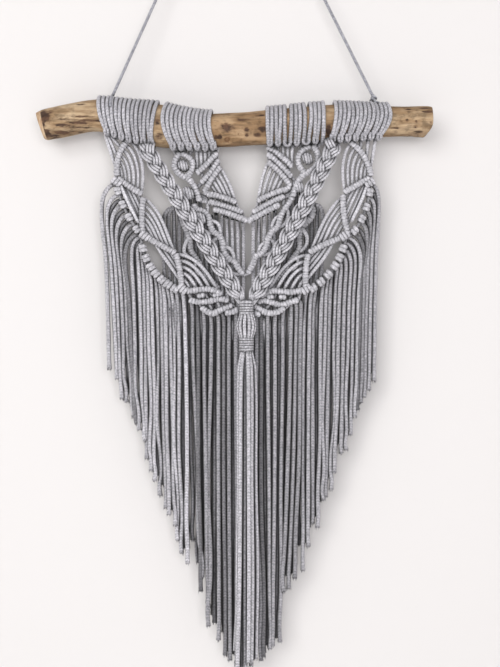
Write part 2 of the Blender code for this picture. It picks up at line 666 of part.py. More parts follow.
def knotted_pieces(name, helpers):
    """The bars of a panel, the cords between them, its edge cords, chains and berry knot."""
    pieces = [ridged_bar(row, helpers) for row in BARS[name]]
    for fan in FANS[name]:
        pieces += [plain_cord(row, helpers) for row in fan_lines(name, fan, HEADINGS[name])]
    for row in EDGES.get(name, []):
        pieces.append(plain_cord(row, helpers, radius=EDGE_RADIUS, steps=5))
    for row in CHAINS.get(name, []):
        pieces += chain_cords(row, helpers)
    for row in LINKS.get(name, []):
        pieces.append(plain_cord(row, helpers))
    if name in BERRIES:
        row = BERRIES[name]
        centre = place(row["x"], row["drop"], PANEL_DEPTH)
        pieces.append(round_knot(centre, BERRY_RADIUS, BAR_REACH, helpers))
    for index, piece in enumerate(pieces):
        layer = index * 3 % WEAVE_LAYERS - WEAVE_LAYERS // 2
        piece.location.y += MM * WEAVE_STEP * layer
    return pieces


# ---------------------------------------------------------------- plaits, tassel, fringes

def make_plait(side, row, parts, helpers, cutters, finish):
    """Three strands plaited over and under one another, which end level, just above the tassel."""
    end_drop = TASSEL_HEAD[0]["drop"] - GAP
    length = line_length(row)
    periods = length / PLAIT_PERIOD
    steps = round(periods * 5)
    strands = []
    for strand in range(3):
        points = []
        for step in range(steps + 1):
            share = step / steps
            turn = 2 * math.pi * (periods * share + strand / 3)
            x, drop = bowed(row, share)
            run, fall = (row["to_x"] - row["x"]) / length, (row["to_drop"] - row["drop"]) / length
            swing = PLAIT_SWING * math.sin(turn)
            depth = PLAIT_DEPTH + PLAIT_LIFT * math.sin(2 * turn)
            points.append(place(x + swing * fall, drop - swing * run, depth))
        across = x + swing * fall
        points[-1] = place(across, end_drop - PLAIT_STRAND_RADIUS, depth)
        points.append(place(across, end_drop, depth))
        strands.append(cord("strand", points, [PLAIT_STRAND_RADIUS] * len(points), helpers))
    return fuse("plait_" + side, strands, finish, parts, cutters, KEEP)


def tip_drop(x):
    """How far down the fringe's lower edge lies at x."""
    return straight_between(TIP_LINE, x, "drop")


def hanging_cord_points(root_x, root_drop, hang_x):
    """A cord that leaves its knot, turns down over a short arc and hangs to its tip."""
    reach = abs(hang_x - root_x) + 4 * FRINGE_RADIUS
    tip_x = hang_x - FRINGE_GATHER * (hang_x - TASSEL_X)
    tip = tip_drop(tip_x)
    return [
        place(root_x, root_drop, FRINGE_DEPTH),
        place(root_x + 0.75 * (hang_x - root_x), root_drop + 0.35 * reach, FRINGE_DEPTH),
        place(hang_x, root_drop + reach + 2 * FRINGE_RADIUS, FRINGE_DEPTH),
        place((hang_x + tip_x) / 2, (root_drop + reach + tip) / 2, FRINGE_DEPTH),
        place(tip_x, tip, FRINGE_DEPTH),
    ]


def make_fringe(name, rows, parts, helpers, finish):
    """A strip of edge knots and the cords that hang from it."""
    panel = name.split("_")[0] + "_outer"
    lines = {("edge", row["name"]): row for row in EDGES[panel]}
    lines.update({("bar", row["name"]): row for row in BARS[panel]})
    strip_points, strands = [], []
    for row in rows:
        line = lines[row["root"]]
        start, end = row["shares"]
        for step in range(5):
            x, drop = bowed(line, start + (end - start) * step / 4)
            strip_points.append(place(x, drop, FRINGE_DEPTH))
        for index in range(row["count"]):
            share = index / (row["count"] - 1)
            root_x, root_drop = bowed(line, start + (end - start) * share)
            hang_x = row["hang"][0] + (row["hang"][1] - row["hang"][0]) * share
            points = hanging_cord_points(root_x, root_drop, hang_x)
            strands.append(cord("fringe", points, [FRINGE_RADIUS] * len(points), helpers))
    strip = cord("strip", strip_points, [STRIP_RADIUS] * len(strip_points), helpers)
    return fuse("fringe_" + name, [strip] + strands, finish, parts)


def make_back_fringe(parts, helpers, finish):
    """The fringe behind the collars, on strips that are tied to one another."""
    pieces = []
    for rows in BACK_STRIPS:
        points = [place(BACK_ROOTS[row]["x"], BACK_ROOTS[row]["drop"], FRINGE_DEPTH) for row in rows]
        pieces.append(cord("strip", points, [STRIP_RADIUS] * len(points), helpers))
    for row in BACK_TIES:
        points = [place(row["x"], row["drop"], FRINGE_DEPTH), place(row["x"], row["to_drop"], FRINGE_DEPTH)]
        pieces.append(cord("tie", points, [FRINGE_RADIUS] * 2, helpers, tilt=CHAIN_TILT))
    first, last = BACK_FRINGE["hang"]
    for index in range(BACK_FRINGE["count"]):
        x = first + (last - first) * index / (BACK_FRINGE["count"] - 1)
        root = straight_between(BACK_ROOTS, x, "drop")
        points = [
            place(x, root, FRINGE_DEPTH),
            place(x, root + 40.0, BACK_FRINGE_DEPTH),
            place(x, tip_drop(x) - BACK_FRINGE["lift"], BACK_FRINGE_DEPTH),
        ]
        pieces.append(cord("fringe", points, [FRINGE_RADIUS] * 3, helpers))
    return fuse("fringe_back", pieces, finish, parts)


def make_tassel(parts, helpers, finish):
    """The gathering wraps, the bulb between them and the tassel's cords."""
    depth = PANEL_DEPTH - BAR_REACH - GAP - TASSEL_HEAD[0]["radius"] - RIDGE_HEIGHT
    profile = [(TASSEL_HEAD[0]["drop"], 0.0)]
    for row, below in zip(TASSEL_HEAD, TASSEL_HEAD[1:]):
        steps = 2 * row["turns"] if row["turns"] else 2
        for step in range(steps):
            share = step / steps
            ridge = (RIDGE_HEIGHT if step % 2 else -RIDGE_HEIGHT) if row["turns"] else 0.0
            radius = row["radius"] + (below["radius"] - row["radius"]) * share + ridge
            profile.append((row["drop"] + (below["drop"] - row["drop"]) * share, radius))
    bottom = TASSEL_HEAD[-1]
    profile += [(bottom["drop"], bottom["radius"]), (bottom["drop"], 0.0)]
    head = turned("tassel", profile, False, helpers)
    for vertex in head.data.vertices:
        down, across, out = (value / MM for value in vertex.co)
        vertex.co = place(TASSEL_X + across, down, depth + out)
    strands = []
    for ring in TASSEL_RINGS:
        for index in range(ring["count"]):
            angle = 2 * math.pi * (index + 0.5) / ring["count"]
            side, front = math.sin(angle), math.cos(angle)
            tip = TASSEL_TIP_DROP - TASSEL_TIP_STEP * (1 - front)
            reaches = [
                (ring["root"], bottom["drop"] - TASSEL_ROOT_DEPTH),
                (ring["radius"], bottom["drop"] + TASSEL_SWELL_DROP),
                (ring["tip"], tip),
            ]
            points = [
                place(TASSEL_X + reach * side, drop, depth + TASSEL_FLATNESS * reach * front)
                for reach, drop in reaches
            ]
            strands.append(cord("tassel_cord", points, [CORD_RADIUS] * len(points), helpers))
    return fuse("tassel", [head] + strands, finish, parts)


# ---------------------------------------------------------------- hanging cord

def make_hanging_cord(parts, helpers, cutters, finish):
    """The cord from one end heading up over the nail and down to the other."""
    start, end = (place(row["x"], row["drop"], BRANCH_DEPTH) for row in HANGER)
    bend = NAIL_RADIUS + HANGER_RADIUS
    points = [start, start.lerp(Vector((-bend * MM, 0, -bend * MM)), 0.5)]
    for step in range(NAIL_STEPS + 1):
        angle = NAIL_ANGLE + (math.pi - 2 * NAIL_ANGLE) * step / NAIL_STEPS
        points.append(Vector((-bend * math.cos(angle), 0.0, bend * (math.sin(angle) - 1))) * MM)
    points += [end.lerp(Vector((bend * MM, 0, -bend * MM)), 0.5), end]
    legs = cord("hanging_cord", points, [HANGER_RADIUS] * len(points), helpers, resolution=1)
    centre = place(HANGER_KNOT["x"], HANGER_KNOT["drop"], BRANCH_DEPTH)
    knot = round_knot(centre, HANGER_KNOT["radius"], HANGER_KNOT["radius"], helpers)
    return fuse("hanging_cord", [legs, knot], finish, parts, cutters)


# ---------------------------------------------------------------- assembly

def build():
    """Builds the whole hanging."""
    for old in list(bpy.data.objects):
        bpy.data.objects.remove(old)
    parts = collection("macrame_wall_hanging")
    helpers = collection("cutters", hidden=True)
    cotton = material("grey braided cotton", COTTON_GREY, 0.95)
    wood = material("driftwood", DRIFTWOOD, 0.75)
    make_branch(parts, wood)
    blocks = {name: make_heading(name, row, parts, helpers, cotton) for name, row in HEADINGS.items()}
    wood_block = branch_block(helpers)
    for side in ("left", "right"):
        name = side + "_outer"
        pieces = knotted_pieces(name, helpers)
        fuse("panel_" + side, pieces, cotton, parts, [blocks[name], wood_block], KEEP)
    halves = knotted_pieces("left_collar", helpers) + knotted_pieces("right_collar", helpers)
    around = [blocks["left_collar"], blocks["right_collar"], wood_block]
    fuse("collar", halves, cotton, parts, around, KEEP)
    for side, row in PLAITS.items():
        make_plait(side, row, parts, helpers, [blocks[side + "_outer"], wood_block], cotton)
    for name, rows in FRINGES.items():
        make_fringe(name, rows, parts, helpers, cotton)
    make_back_fringe(parts, helpers, cotton)
    make_tassel(parts, helpers, cotton)
    make_hanging_cord(parts, helpers, [blocks["left_outer"], blocks["right_outer"], wood_block], cotton)
    for cutter in [wood_block, *blocks.values()]:
        cutter.hide_render = True
        cutter.display_type = "WIRE"


build()
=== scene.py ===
"""The finished look of a macrame wall hanging on a driftwood branch.

Places are in millimetres: x from the nail, to the right, and drop, how far a point lies below the
level of the branch. Depth is along Y, with less of it nearer the viewer.
"""
import math
import random
from collections import namedtuple

import bmesh
import bpy
import numpy as np
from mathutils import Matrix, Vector, noise


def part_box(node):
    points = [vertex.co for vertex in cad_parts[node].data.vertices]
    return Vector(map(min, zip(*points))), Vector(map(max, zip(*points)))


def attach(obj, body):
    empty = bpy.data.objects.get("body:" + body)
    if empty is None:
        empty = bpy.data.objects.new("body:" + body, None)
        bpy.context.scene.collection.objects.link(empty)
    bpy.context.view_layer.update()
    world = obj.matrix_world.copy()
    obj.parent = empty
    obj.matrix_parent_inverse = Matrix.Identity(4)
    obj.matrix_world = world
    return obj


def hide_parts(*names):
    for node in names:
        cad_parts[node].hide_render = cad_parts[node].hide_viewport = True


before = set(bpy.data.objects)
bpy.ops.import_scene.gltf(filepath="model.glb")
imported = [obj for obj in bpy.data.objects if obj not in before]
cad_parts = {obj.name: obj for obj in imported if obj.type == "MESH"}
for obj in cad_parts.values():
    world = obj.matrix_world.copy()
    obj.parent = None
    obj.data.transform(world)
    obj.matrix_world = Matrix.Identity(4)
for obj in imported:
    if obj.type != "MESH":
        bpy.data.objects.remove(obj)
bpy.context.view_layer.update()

# ---------------------------------------------------------------- branch
# A stick of sea-worn driftwood, tan and bare, with dark grain, cracks and whorls of lost twigs.
# Its ends are sawn at a slant and worn round. All the cords hang from it.
MM = 0.001
BRANCH_DROP = 306.0  # from the nail down to the level of the branch


def spot(x, drop, depth):
    """A place on the hanging, in metres."""
    return np.array((x, depth, -(BRANCH_DROP + drop))) * MM


def middle_depth(node):
    """The depth of the middle of a piece of the frame, in millimetres."""
    low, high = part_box(node)
    return (low.y + high.y) / 2 / MM


def add_node(tree, kind, values=(), **settings):
    """Adds a shader node. values gives its inputs numbers, colours or other nodes' outputs."""
    made = tree.nodes.new("ShaderNode" + kind)
    for name, value in settings.items():
        setattr(made, name, value)
    for key, value in dict(values).items():
        if isinstance(value, bpy.types.NodeSocket):
            tree.links.new(value, made.inputs[key])
        else:
            made.inputs[key].default_value = value
    return made


def maths(tree, operation, first, second=0.0, third=0.0):
    """The result of a Math node."""
    return add_node(tree, "Math", {0: first, 1: second, 2: third}, operation=operation).outputs[0]


def new_finish(name, values):
    """A material, its node tree and its shader, with values for the shader's inputs."""
    finish = bpy.data.materials.new(name)
    finish.use_nodes = True
    shader = finish.node_tree.nodes["Principled BSDF"]
    for key, value in values.items():
        shader.inputs[key].default_value = value
    return finish, finish.node_tree, shader


def roughen(tree, shader, height, strength, distance):
    """Lets a height raise and lower what a shader shows."""
    bump = add_node(tree, "Bump", {"Height": height, "Strength": strength, "Distance": distance})
    tree.links.new(bump.outputs[0], shader.inputs["Normal"])


def linked(name, data):
    """An object of the scene that shows this data."""
    made = bpy.data.objects.new(name, data)
    bpy.context.scene.collection.objects.link(made)
    return made


def keep(mesh, name, values):
    """Stores a number at each point of a mesh, for its material to read."""
    mesh.attributes.new(name, "FLOAT", "POINT").data.foreach_set("value", values)


def ramp(tree, factor, stops, interpolation="EASE"):
    """The colour of a ramp, with stops of (place, grey or colour)."""
    made = add_node(tree, "ValToRGB", {"Fac": factor})
    made.color_ramp.interpolation = interpolation
    while len(made.color_ramp.elements) < len(stops):
        made.color_ramp.elements.new(1.0)
    for element, (place, colour) in zip(made.color_ramp.elements, stops):
        element.position = place
        element.color = (*colour, 1.0) if isinstance(colour, tuple) else (colour, colour, colour, 1.0)
    return made.outputs["Color"]


def blended(tree, factor, first, second, blend_type="MIX"):
    """The colour of a Mix node."""
    made = add_node(tree, "Mix", data_type="RGBA", blend_type=blend_type)
    for index, value in ((0, factor), (6, first), (7, second)):
        if isinstance(value, bpy.types.NodeSocket):
            tree.links.new(value, made.inputs[index])
        elif index:
            made.inputs[index].default_value = (*value, 1.0)
        else:
            made.inputs[index].default_value = value
    return made.outputs[2]


Station = namedtuple("Station", "x drop diameter")
BRANCH = [
    Station(-196, 1.5, 29), Station(-176, -3, 33), Station(-138, -9, 32), Station(-106, -3.5, 37),
    Station(-76, 1.5, 42.5), Station(-50, 5, 37.5), Station(-24, 6, 33.5), Station(29, 3, 34),
    Station(94, -2, 35.5), Station(155, -3.3, 29.5), Station(196, -2.5, 31),
]
BRANCH_DEPTH = middle_depth("branch")
BRANCH_ROUND = 88
BRANCH_LONG = 380
END_LENGTH = 14.0
LEFT_SLANT = 0.30
RIGHT_ROUNDING = 7.0
BEVEL = 4.0
# Rings of grain round the stumps of two lost twigs.
Whorl = namedtuple("Whorl", "x drop radius")
WHORLS = [Whorl(-8.5, 16.5, 6), Whorl(2.5, 11.5, 4.2)]
# Old bark, stains, holes and cracks on the front: middle, reach each way and how dark.
Stain = namedtuple("Stain", "x drop wide high dark")
STAINS = [Stain(*row) for row in (
    (-192, -6, 6, 6, 1), (-187, -5, 3, 4, 0.9), (-193, 3, 3, 6, 0.9), (-188, 11, 6, 3.5, 1),
    (-182, 12.5, 7, 2, 0.7), (-184, -11, 3, 2, 0.7), (-171, 2.2, 11, 1.1, 0.9), (-158, 0.4, 11, 1.2, 1),
    (-145, -1.8, 12, 1.1, 1), (-168, -3, 13, 0.8, 0.5), (-151, -5.6, 13, 0.7, 0.6),
    (-158, 4.6, 13, 0.8, 0.6), (-176, 9.5, 10, 1.6, 0.8), (-160, 8, 10, 0.8, 0.4),
    (-153, -18.5, 5, 0.7, 0.5), (-78, 0, 3, 4, 0.5), (-76, 14, 4, 3, 0.7), (-9.6, 5.5, 7, 4, 0.8),
    (-16, 14.4, 2, 2.4, 1), (-19.5, 14.4, 2, 1.6, 0.8), (10.5, 7.7, 2.2, 2.2, 0.9), (11, 12, 2, 2, 0.6),
    (24.4, -7.5, 5, 0.9, 1), (27, 7, 4, 3.4, 1), (21.7, 11.7, 4, 3, 0.6), (6, -3, 8, 2, 0.3),
    (92, 8, 3, 6, 1), (191.5, -11, 6, 0.9, 1), (187, -15.3, 4.5, 0.9, 0.8), (171.8, -13.6, 4, 0.7, 0.7),
    (171.5, -10.8, 3, 0.6, 0.6), (170, -2.2, 1.7, 1.3, 0.8), (178.5, 4, 2, 1.4, 0.9),
    (179, -1, 1.3, 1, 0.6), (183, 8.5, 4, 1, 0.8), (193.6, 0, 1.6, 1.2, 0.6), (158, 5, 6, 0.9, 0.7),
    (164, -1, 2, 1, 0.5), (181, 10, 12, 2, 0.4),
)]


def curved(t, start, out, finish, into):
    """A point on a curve from start to finish that leaves along out and comes in along into."""
    return ((2 * t ** 3 - 3 * t ** 2 + 1) * start + (t ** 3 - 2 * t ** 2 + t) * out
            + (3 * t ** 2 - 2 * t ** 3) * finish + (t ** 3 - t ** 2) * into)


def between(x, column):
    """Reads a column of the branch's table at x, on a smooth curve through its rows."""
    last = len(BRANCH) - 1
    x = min(max(x, BRANCH[0].x), BRANCH[last].x)
    index = max(i for i in range(last) if BRANCH[i].x <= x)
    rows = [BRANCH[max(index - 1, 0)], BRANCH[index], BRANCH[index + 1], BRANCH[min(index + 2, last)]]
    value = [getattr(row, column) for row in rows]
    span = rows[2].x - rows[1].x
    share = (x - rows[1].x) / span
    slope_low = (value[2] - value[0]) / (rows[2].x - rows[0].x) * span
    slope_high = (value[3] - value[1]) / (rows[3].x - rows[1].x) * span
    return curved(share, value[1], slope_low, value[2], slope_high)


def round_branch(x, turn, lift):
    """A point that far above the wood, a turn in radians from the top towards the front."""
    radius = between(x, "diameter") / 2 + lift
    drop = between(x, "drop") - radius * math.cos(turn)
    return spot(x, drop, BRANCH_DEPTH - radius * math.sin(turn))


def stained(x, drop):
    """How dark the front of the wood is at a place, from 0 to about 1."""
    dark = 0.0
    for stain in STAINS:
        far = ((x - stain.x) / stain.wide) ** 2 + ((drop - stain.drop) / stain.high) ** 2
        if far < 5:
            dark = max(dark, stain.dark * math.exp(-far))
    return dark


def wood_relief(x, turn):
    """How far the worn wood stands out or lies in, in millimetres."""
    across, up = math.sin(turn), math.cos(turn)
    relief = 0.8 * noise.noise(Vector((x / 34, across * 1.3, up * 1.3)))
    relief += 0.3 * noise.noise(Vector((x / 22, across * 6, up * 6)))
    groove = abs(noise.noise(Vector((x / 60 + 9, across * 9, up * 9))))
    relief -= 0.4 * max(0.0, 1 - groove / 0.10)
    if across > 0:
        drop = between(x, "drop") - between(x, "diameter") / 2 * up
        relief -= 0.8 * stained(x, drop)
        for whorl in WHORLS:
            far = math.hypot(x - whorl.x, drop - whorl.drop) / whorl.radius
            if far < 1.4:
                relief += 0.5 * math.cos(far * 9.0) * max(0.0, 1.4 - far)
    return relief


def make_driftwood():
    """The branch's mesh. Each point also keeps how stained it is and whether it is sawn wood."""
    first, last = BRANCH[0].x, BRANCH[-1].x
    points, ends, stains = [], [], []
    for step in range(BRANCH_LONG + 1):
        x = first + (last - first) * step / BRANCH_LONG
        near_left = max(0.0, 1 - (x - first) / END_LENGTH)
        near_right = max(0.0, 1 - (last - x) / END_LENGTH)
        radius = between(x, "diameter") / 2
        bevel = 1.3 * max(0.0, 1 - (x - first) / BEVEL) + 0.8 * max(0.0, 1 - (last - x) / BEVEL) ** 2
        for side in range(BRANCH_ROUND):
            turn = 2 * math.pi * side / BRANCH_ROUND
            point = round_branch(x, turn, wood_relief(x, turn) - bevel)
            low = max(0.0, -0.1 - math.cos(turn)) / 0.9
            point[0] += MM * (-radius * math.cos(turn) * LEFT_SLANT * near_left
                              - RIGHT_ROUNDING * low ** 2 * near_right)
            points.append(point)
            ends.append(1.0 if x - first < BEVEL * 0.8 else 0.0)
            front = math.sin(turn) > 0
            stains.append(stained(point[0] / MM, -point[2] / MM - BRANCH_DROP) if front else 0.0)
    faces = []
    for step in range(BRANCH_LONG):
        for side in range(BRANCH_ROUND):
            here, beside = step * BRANCH_ROUND + side, step * BRANCH_ROUND + (side + 1) % BRANCH_ROUND
            faces.append((here, beside, beside + BRANCH_ROUND, here + BRANCH_ROUND))
    rings = 7
    for base, outward in ((0, 1), (BRANCH_LONG * BRANCH_ROUND, -1)):
        rim = np.array(points[base:base + BRANCH_ROUND])
        centre = rim.mean(axis=0)
        outer = base
        for ring in range(1, rings + 1):
            inner = len(points)
            share = 1 - ring / rings
            for side in range(BRANCH_ROUND if share else 1):
                dish = 0.5 * MM * noise.noise(Vector((ring * 0.7, side * 0.31, base)))
                points.append(centre + (rim[side] - centre) * share + np.array((dish, 0, 0)))
                ends.append(1.0)
                stains.append(0.0)
            for side in range(BRANCH_ROUND):
                beside = (side + 1) % BRANCH_ROUND
                face = (outer + side, inner + side, inner + beside, outer + beside) if share else (
                    outer + side, inner, outer + beside)
                faces.append(face[::outward])
            outer = inner
    mesh = bpy.data.meshes.new("driftwood")
    mesh.from_pydata([tuple(point) for point in points], [], faces)
    keep(mesh, "sawn", ends)
    keep(mesh, "stain", stains)
    mesh.shade_smooth()
    return linked("driftwood_branch", mesh)


def driftwood_finish():
    """Pale worn wood with long soft grain, dark stains and cracks, and sawn ends."""
    finish, tree, shader = new_finish("driftwood", {"Specular IOR Level": 0.3})
    place = add_node(tree, "TexCoord").outputs["Object"]

    def grained(scale, detail, along=1.0, around=6.0, offset=0.0):
        laid = add_node(tree, "Mapping", {"Vector": place, "Location": (offset, 0, 0),
                                          "Scale": (along, around, around)})
        return add_node(tree, "TexNoise", {"Vector": laid.outputs[0], "Scale": scale,
                                           "Detail": detail, "Roughness": 0.6}).outputs["Fac"]

    tan = ramp(tree, grained(24.0, 4.0, around=3.0), [
        (0.28, (0.200, 0.122, 0.062)), (0.44, (0.320, 0.214, 0.120)), (0.62, (0.520, 0.385, 0.245))])
    grain = ramp(tree, grained(60.0, 5.0, along=0.5, around=6.0), [(0.32, 0.72), (0.60, 1.0)])
    mottled = ramp(tree, grained(120.0, 4.0, along=1.0, around=1.6), [(0.34, 0.62), (0.50, 1.0)])
    colour = blended(tree, 1.0, tan, grain, "MULTIPLY")
    colour = blended(tree, 0.9, colour, mottled, "MULTIPLY")
    # The wood is browner along its middle.
    flat = add_node(tree, "SeparateXYZ", {"Vector": place}).outputs
    browner = ramp(tree, maths(tree, "MULTIPLY_ADD", flat["X"], 2.5, 0.5), [
        (0.30, (1.0, 1.0, 1.0)), (0.45, (0.85, 0.78, 0.72)),
        (0.62, (0.86, 0.79, 0.74)), (0.76, (0.93, 0.91, 0.89))])
    colour = blended(tree, 1.0, colour, browner, "MULTIPLY")
    # Rings of grain round the stumps of lost twigs.
    for whorl in WHORLS:
        centre = spot(whorl.x, whorl.drop, 0.0)
        aside = maths(tree, "SUBTRACT", flat["X"], float(centre[0]))
        above = maths(tree, "SUBTRACT", flat["Z"], float(centre[2]))
        far = maths(tree, "SQRT", maths(tree, "ADD", maths(tree, "MULTIPLY", aside, aside),
                                        maths(tree, "MULTIPLY", above, above)))
        far = maths(tree, "MULTIPLY_ADD", grained(110.0, 3.0, around=1.0), 0.0050, far)
        far = maths(tree, "DIVIDE", far, whorl.radius * MM)
        bands = maths(tree, "SINE", maths(tree, "MULTIPLY", far, 12.0))
        near = ramp(tree, far, [(0.93, 1.0), (1.0, 0.0)])
        dark = maths(tree, "MULTIPLY", maths(tree, "MULTIPLY_ADD", bands, 0.34, 0.42), near)
        colour = blended(tree, dark, colour, (0.115, 0.050, 0.024))
    stain = add_node(tree, "Attribute", attribute_name="stain").outputs["Fac"]
    halo = maths(tree, "MULTIPLY", ramp(tree, stain, [(0.03, 0.0), (0.45, 1.0)]), 0.55)
    colour = blended(tree, halo, colour, (0.125, 0.068, 0.036))
    speckle = maths(tree, "SUBTRACT", grained(170.0, 5.0, along=0.5, around=1.6), 0.5)
    ragged = maths(tree, "MULTIPLY_ADD", speckle, 2.6, stain)
    mask = ramp(tree, ragged, [(0.22, 0.0), (0.62, 1.0)])
    mask = maths(tree, "MULTIPLY", mask, ramp(tree, stain, [(0.02, 0.0), (0.2, 1.0)]))
    deep = ramp(tree, grained(90.0, 3.0, around=1.5, offset=4.0), [
        (0.4, (0.030, 0.016, 0.012)), (0.65, (0.105, 0.055, 0.034))])
    colour = blended(tree, maths(tree, "MULTIPLY", mask, 0.92), colour, deep)
    sawn = add_node(tree, "Attribute", attribute_name="sawn").outputs["Fac"]
    pale = ramp(tree, grained(120.0, 3.0, along=4.0, around=1.0), [
        (0.3, (0.37, 0.235, 0.14)), (0.7, (0.55, 0.42, 0.28))])
    colour = blended(tree, sawn, colour, pale)
    tree.links.new(colour, shader.inputs["Base Color"])
    tree.links.new(ramp(tree, grained(40.0, 3.0), [(0.3, 0.66), (0.7, 0.85)]), shader.inputs["Roughness"])
    fine = maths(tree, "MULTIPLY_ADD", grained(90.0, 5.0, along=0.5, around=8.0), 0.6,
                 maths(tree, "MULTIPLY", mask, -0.5))
    roughen(tree, shader, fine, 0.5, 0.0008)
    return finish


driftwood = make_driftwood()
driftwood.data.materials.append(driftwood_finish())
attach(driftwood, "root")
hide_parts("branch")

# ---------------------------------------------------------------- hanging cord
# A thin grey cord tied round each end of the branch. It goes up over the nail and down again, and
# its right leg ends in a small knot on top of the cords there.
HANGER_RADIUS = 1.5
HANGER_LEFT = -124.5
HANGER_RIGHT = 138.0
HANGER_DROP = -27.0  # where its legs meet the cords on the branch
NAIL_BEND = 4.5
NAIL_ANGLE = 0.41  # where the cord leaves the nail, above the level of its middle
BRAID_COLUMNS = 4.0
# The cotton's colour on the lit tops of its braid, and its painted shade in the grooves between stitches.
COTTON_LIT = (0.585, 0.575, 0.616)
COTTON_DEEP = (0.28, 0.28, 0.304)
chance = random.Random(11)


def unit(ways):
    """The rows of an array, each made one long."""
    return ways / np.linalg.norm(ways, axis=1)[:, None]


class Hank:
    """A hank of cord: all the lengths laid so far, which become one mesh."""

    def __init__(self):
        self.points, self.lay_of, self.tones, self.faces = [], [], [], []
        self.count = 0

    def lay(self, route, radius, facing=(0.0, 1.0, 0.0), sides=8, closed=False, tone=0.0):
        """Lays a cord along a route. facing is a way that the route never takes."""
        route = np.asarray(route, float)
        ahead = np.roll(route, -1, axis=0) - np.roll(route, 1, axis=0)
        if closed:
            route, ahead = np.vstack((route, route[:1])), np.vstack((ahead, ahead[:1]))
        else:
            ahead[0], ahead[-1] = route[1] - route[0], route[-1] - route[-2]
        count = len(route)
        ahead = unit(ahead)
        beside = unit(np.cross(ahead, np.broadcast_to(facing, route.shape)))
        out = np.cross(beside, ahead)
        steps = np.linalg.norm(np.diff(route, axis=0), axis=1)
        along = np.concatenate(([0.0], np.cumsum(steps))) + chance.random()
        radius = np.broadcast_to(np.asarray(radius, float) * MM, (count,))
        turns = 2 * math.pi * (np.arange(sides) + 0.5) / sides
        cosine, sine = np.cos(turns), np.sin(turns)
        ring = (beside[:, None, :] * cosine[None, :, None]
                + out[:, None, :] * sine[None, :, None]) * radius[:, None, None]
        self.points.append((route[:, None, :] + ring).reshape(-1, 3))
        lay = np.empty((count, sides, 3))
        # First the side towards the neighbouring cords or turns, then the face, then the length.
        lay[:, :, 0], lay[:, :, 1] = (sine, cosine) if closed else (cosine, sine)
        lay[:, :, 2] = along[:, None]
        self.lay_of.append(lay.reshape(-1, 3))
        base = self.count
        for step in range(count - 1):
            here = base + step * sides
            for side in range(sides):
                after = (side + 1) % sides
                self.faces.append((here + side, here + after, here + sides + after, here + sides + side))
        if not closed:
            self.faces.append(tuple(base + side for side in reversed(range(sides))))
            last = base + (count - 1) * sides
            self.faces.append(tuple(last + side for side in range(sides)))
        tone += chance.gauss(0.0, 0.35)
        self.tones.append(np.full(count * sides, tone))
        self.count += count * sides

    def make(self, name, finish, *nodes):
        """Turns the hank into an object that stands for nodes of the frame."""
        mesh = bpy.data.meshes.new(name)
        mesh.from_pydata(np.concatenate(self.points).tolist(), [], self.faces)
        lay = mesh.attributes.new("lay", "FLOAT_VECTOR", "POINT")
        lay.data.foreach_set("vector", np.concatenate(self.lay_of).ravel())
        keep(mesh, "tone", np.concatenate(self.tones))
        mesh.materials.append(finish)
        mesh.shade_smooth()
        work = bmesh.new()
        work.from_mesh(mesh)
        bmesh.ops.recalc_face_normals(work, faces=work.faces)
        work.to_mesh(mesh)
        work.free()
        made = linked(name, mesh)
        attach(made, "root")
        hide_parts(*nodes)


def smooth(points, spacing):
    """A smooth route through points in metres, with a point about every spacing mm."""
    points = np.asarray(points, float)
    steps = np.diff(points, axis=0)
    spans = np.linalg.norm(steps, axis=1)[:, None]
    slopes = steps / spans
    inner = (slopes[:-1] * spans[1:] + slopes[1:] * spans[:-1]) / (spans[:-1] + spans[1:])
    ways = np.vstack((slopes[:1], inner, slopes[-1:]))
    route = []
    for start, finish, out, into, span in zip(points, points[1:], ways, ways[1:], spans):
        parts = max(1, round(span[0] / (spacing * MM)))
        route += [curved(part / parts, start, out * span, finish, into * span) for part in range(parts)]
    return np.array(route + [points[-1]])


def braid_group():
    """Height and shade of a braided cord: columns of small Vs that run along it."""
    group = bpy.data.node_groups.new("braid", "ShaderNodeTree")
    group.interface.new_socket("Pitch", in_out="INPUT", socket_type="NodeSocketFloat")
    for name in ("Height", "Shade"):
        group.interface.new_socket(name, in_out="OUTPUT", socket_type="NodeSocketFloat")
    given = group.nodes.new("NodeGroupInput")
    put_out = group.nodes.new("NodeGroupOutput")
    lay = add_node(group, "Attribute", attribute_name="lay").outputs["Vector"]
    parts = add_node(group, "SeparateXYZ", {"Vector": lay}).outputs
    turn = maths(group, "ARCTAN2", parts["Y"], parts["X"])
    column = maths(group, "MULTIPLY", maths(group, "DIVIDE", turn, 2 * math.pi), BRAID_COLUMNS)
    leg = maths(group, "ABSOLUTE", maths(group, "SUBTRACT", maths(group, "FRACT", column), 0.5))
    stitch = maths(group, "ADD", maths(group, "DIVIDE", parts["Z"], given.outputs["Pitch"]),
                   maths(group, "MULTIPLY", leg, 0.9))
    wave = maths(group, "SINE", maths(group, "MULTIPLY", stitch, 2 * math.pi))
    wave = maths(group, "MULTIPLY_ADD", wave, 0.5, 0.5)
    seam = maths(group, "SINE", maths(group, "MULTIPLY", leg, math.pi))
    seam = maths(group, "MULTIPLY_ADD", seam, -0.6, 1.0)
    height = maths(group, "MULTIPLY", wave, seam)
    group.links.new(height, put_out.inputs["Height"])
    place = add_node(group, "TexCoord").outputs["Object"]
    lint = add_node(group, "TexNoise", {"Vector": place, "Scale": 480.0, "Detail": 3.0}).outputs["Fac"]
    soft = maths(group, "MULTIPLY_ADD", height, 0.58, 0.125)
    shade = maths(group, "MULTIPLY_ADD", maths(group, "SUBTRACT", lint, 0.5), 1.5, soft)
    group.links.new(shade, put_out.inputs["Shade"])
    return group


braid = braid_group()


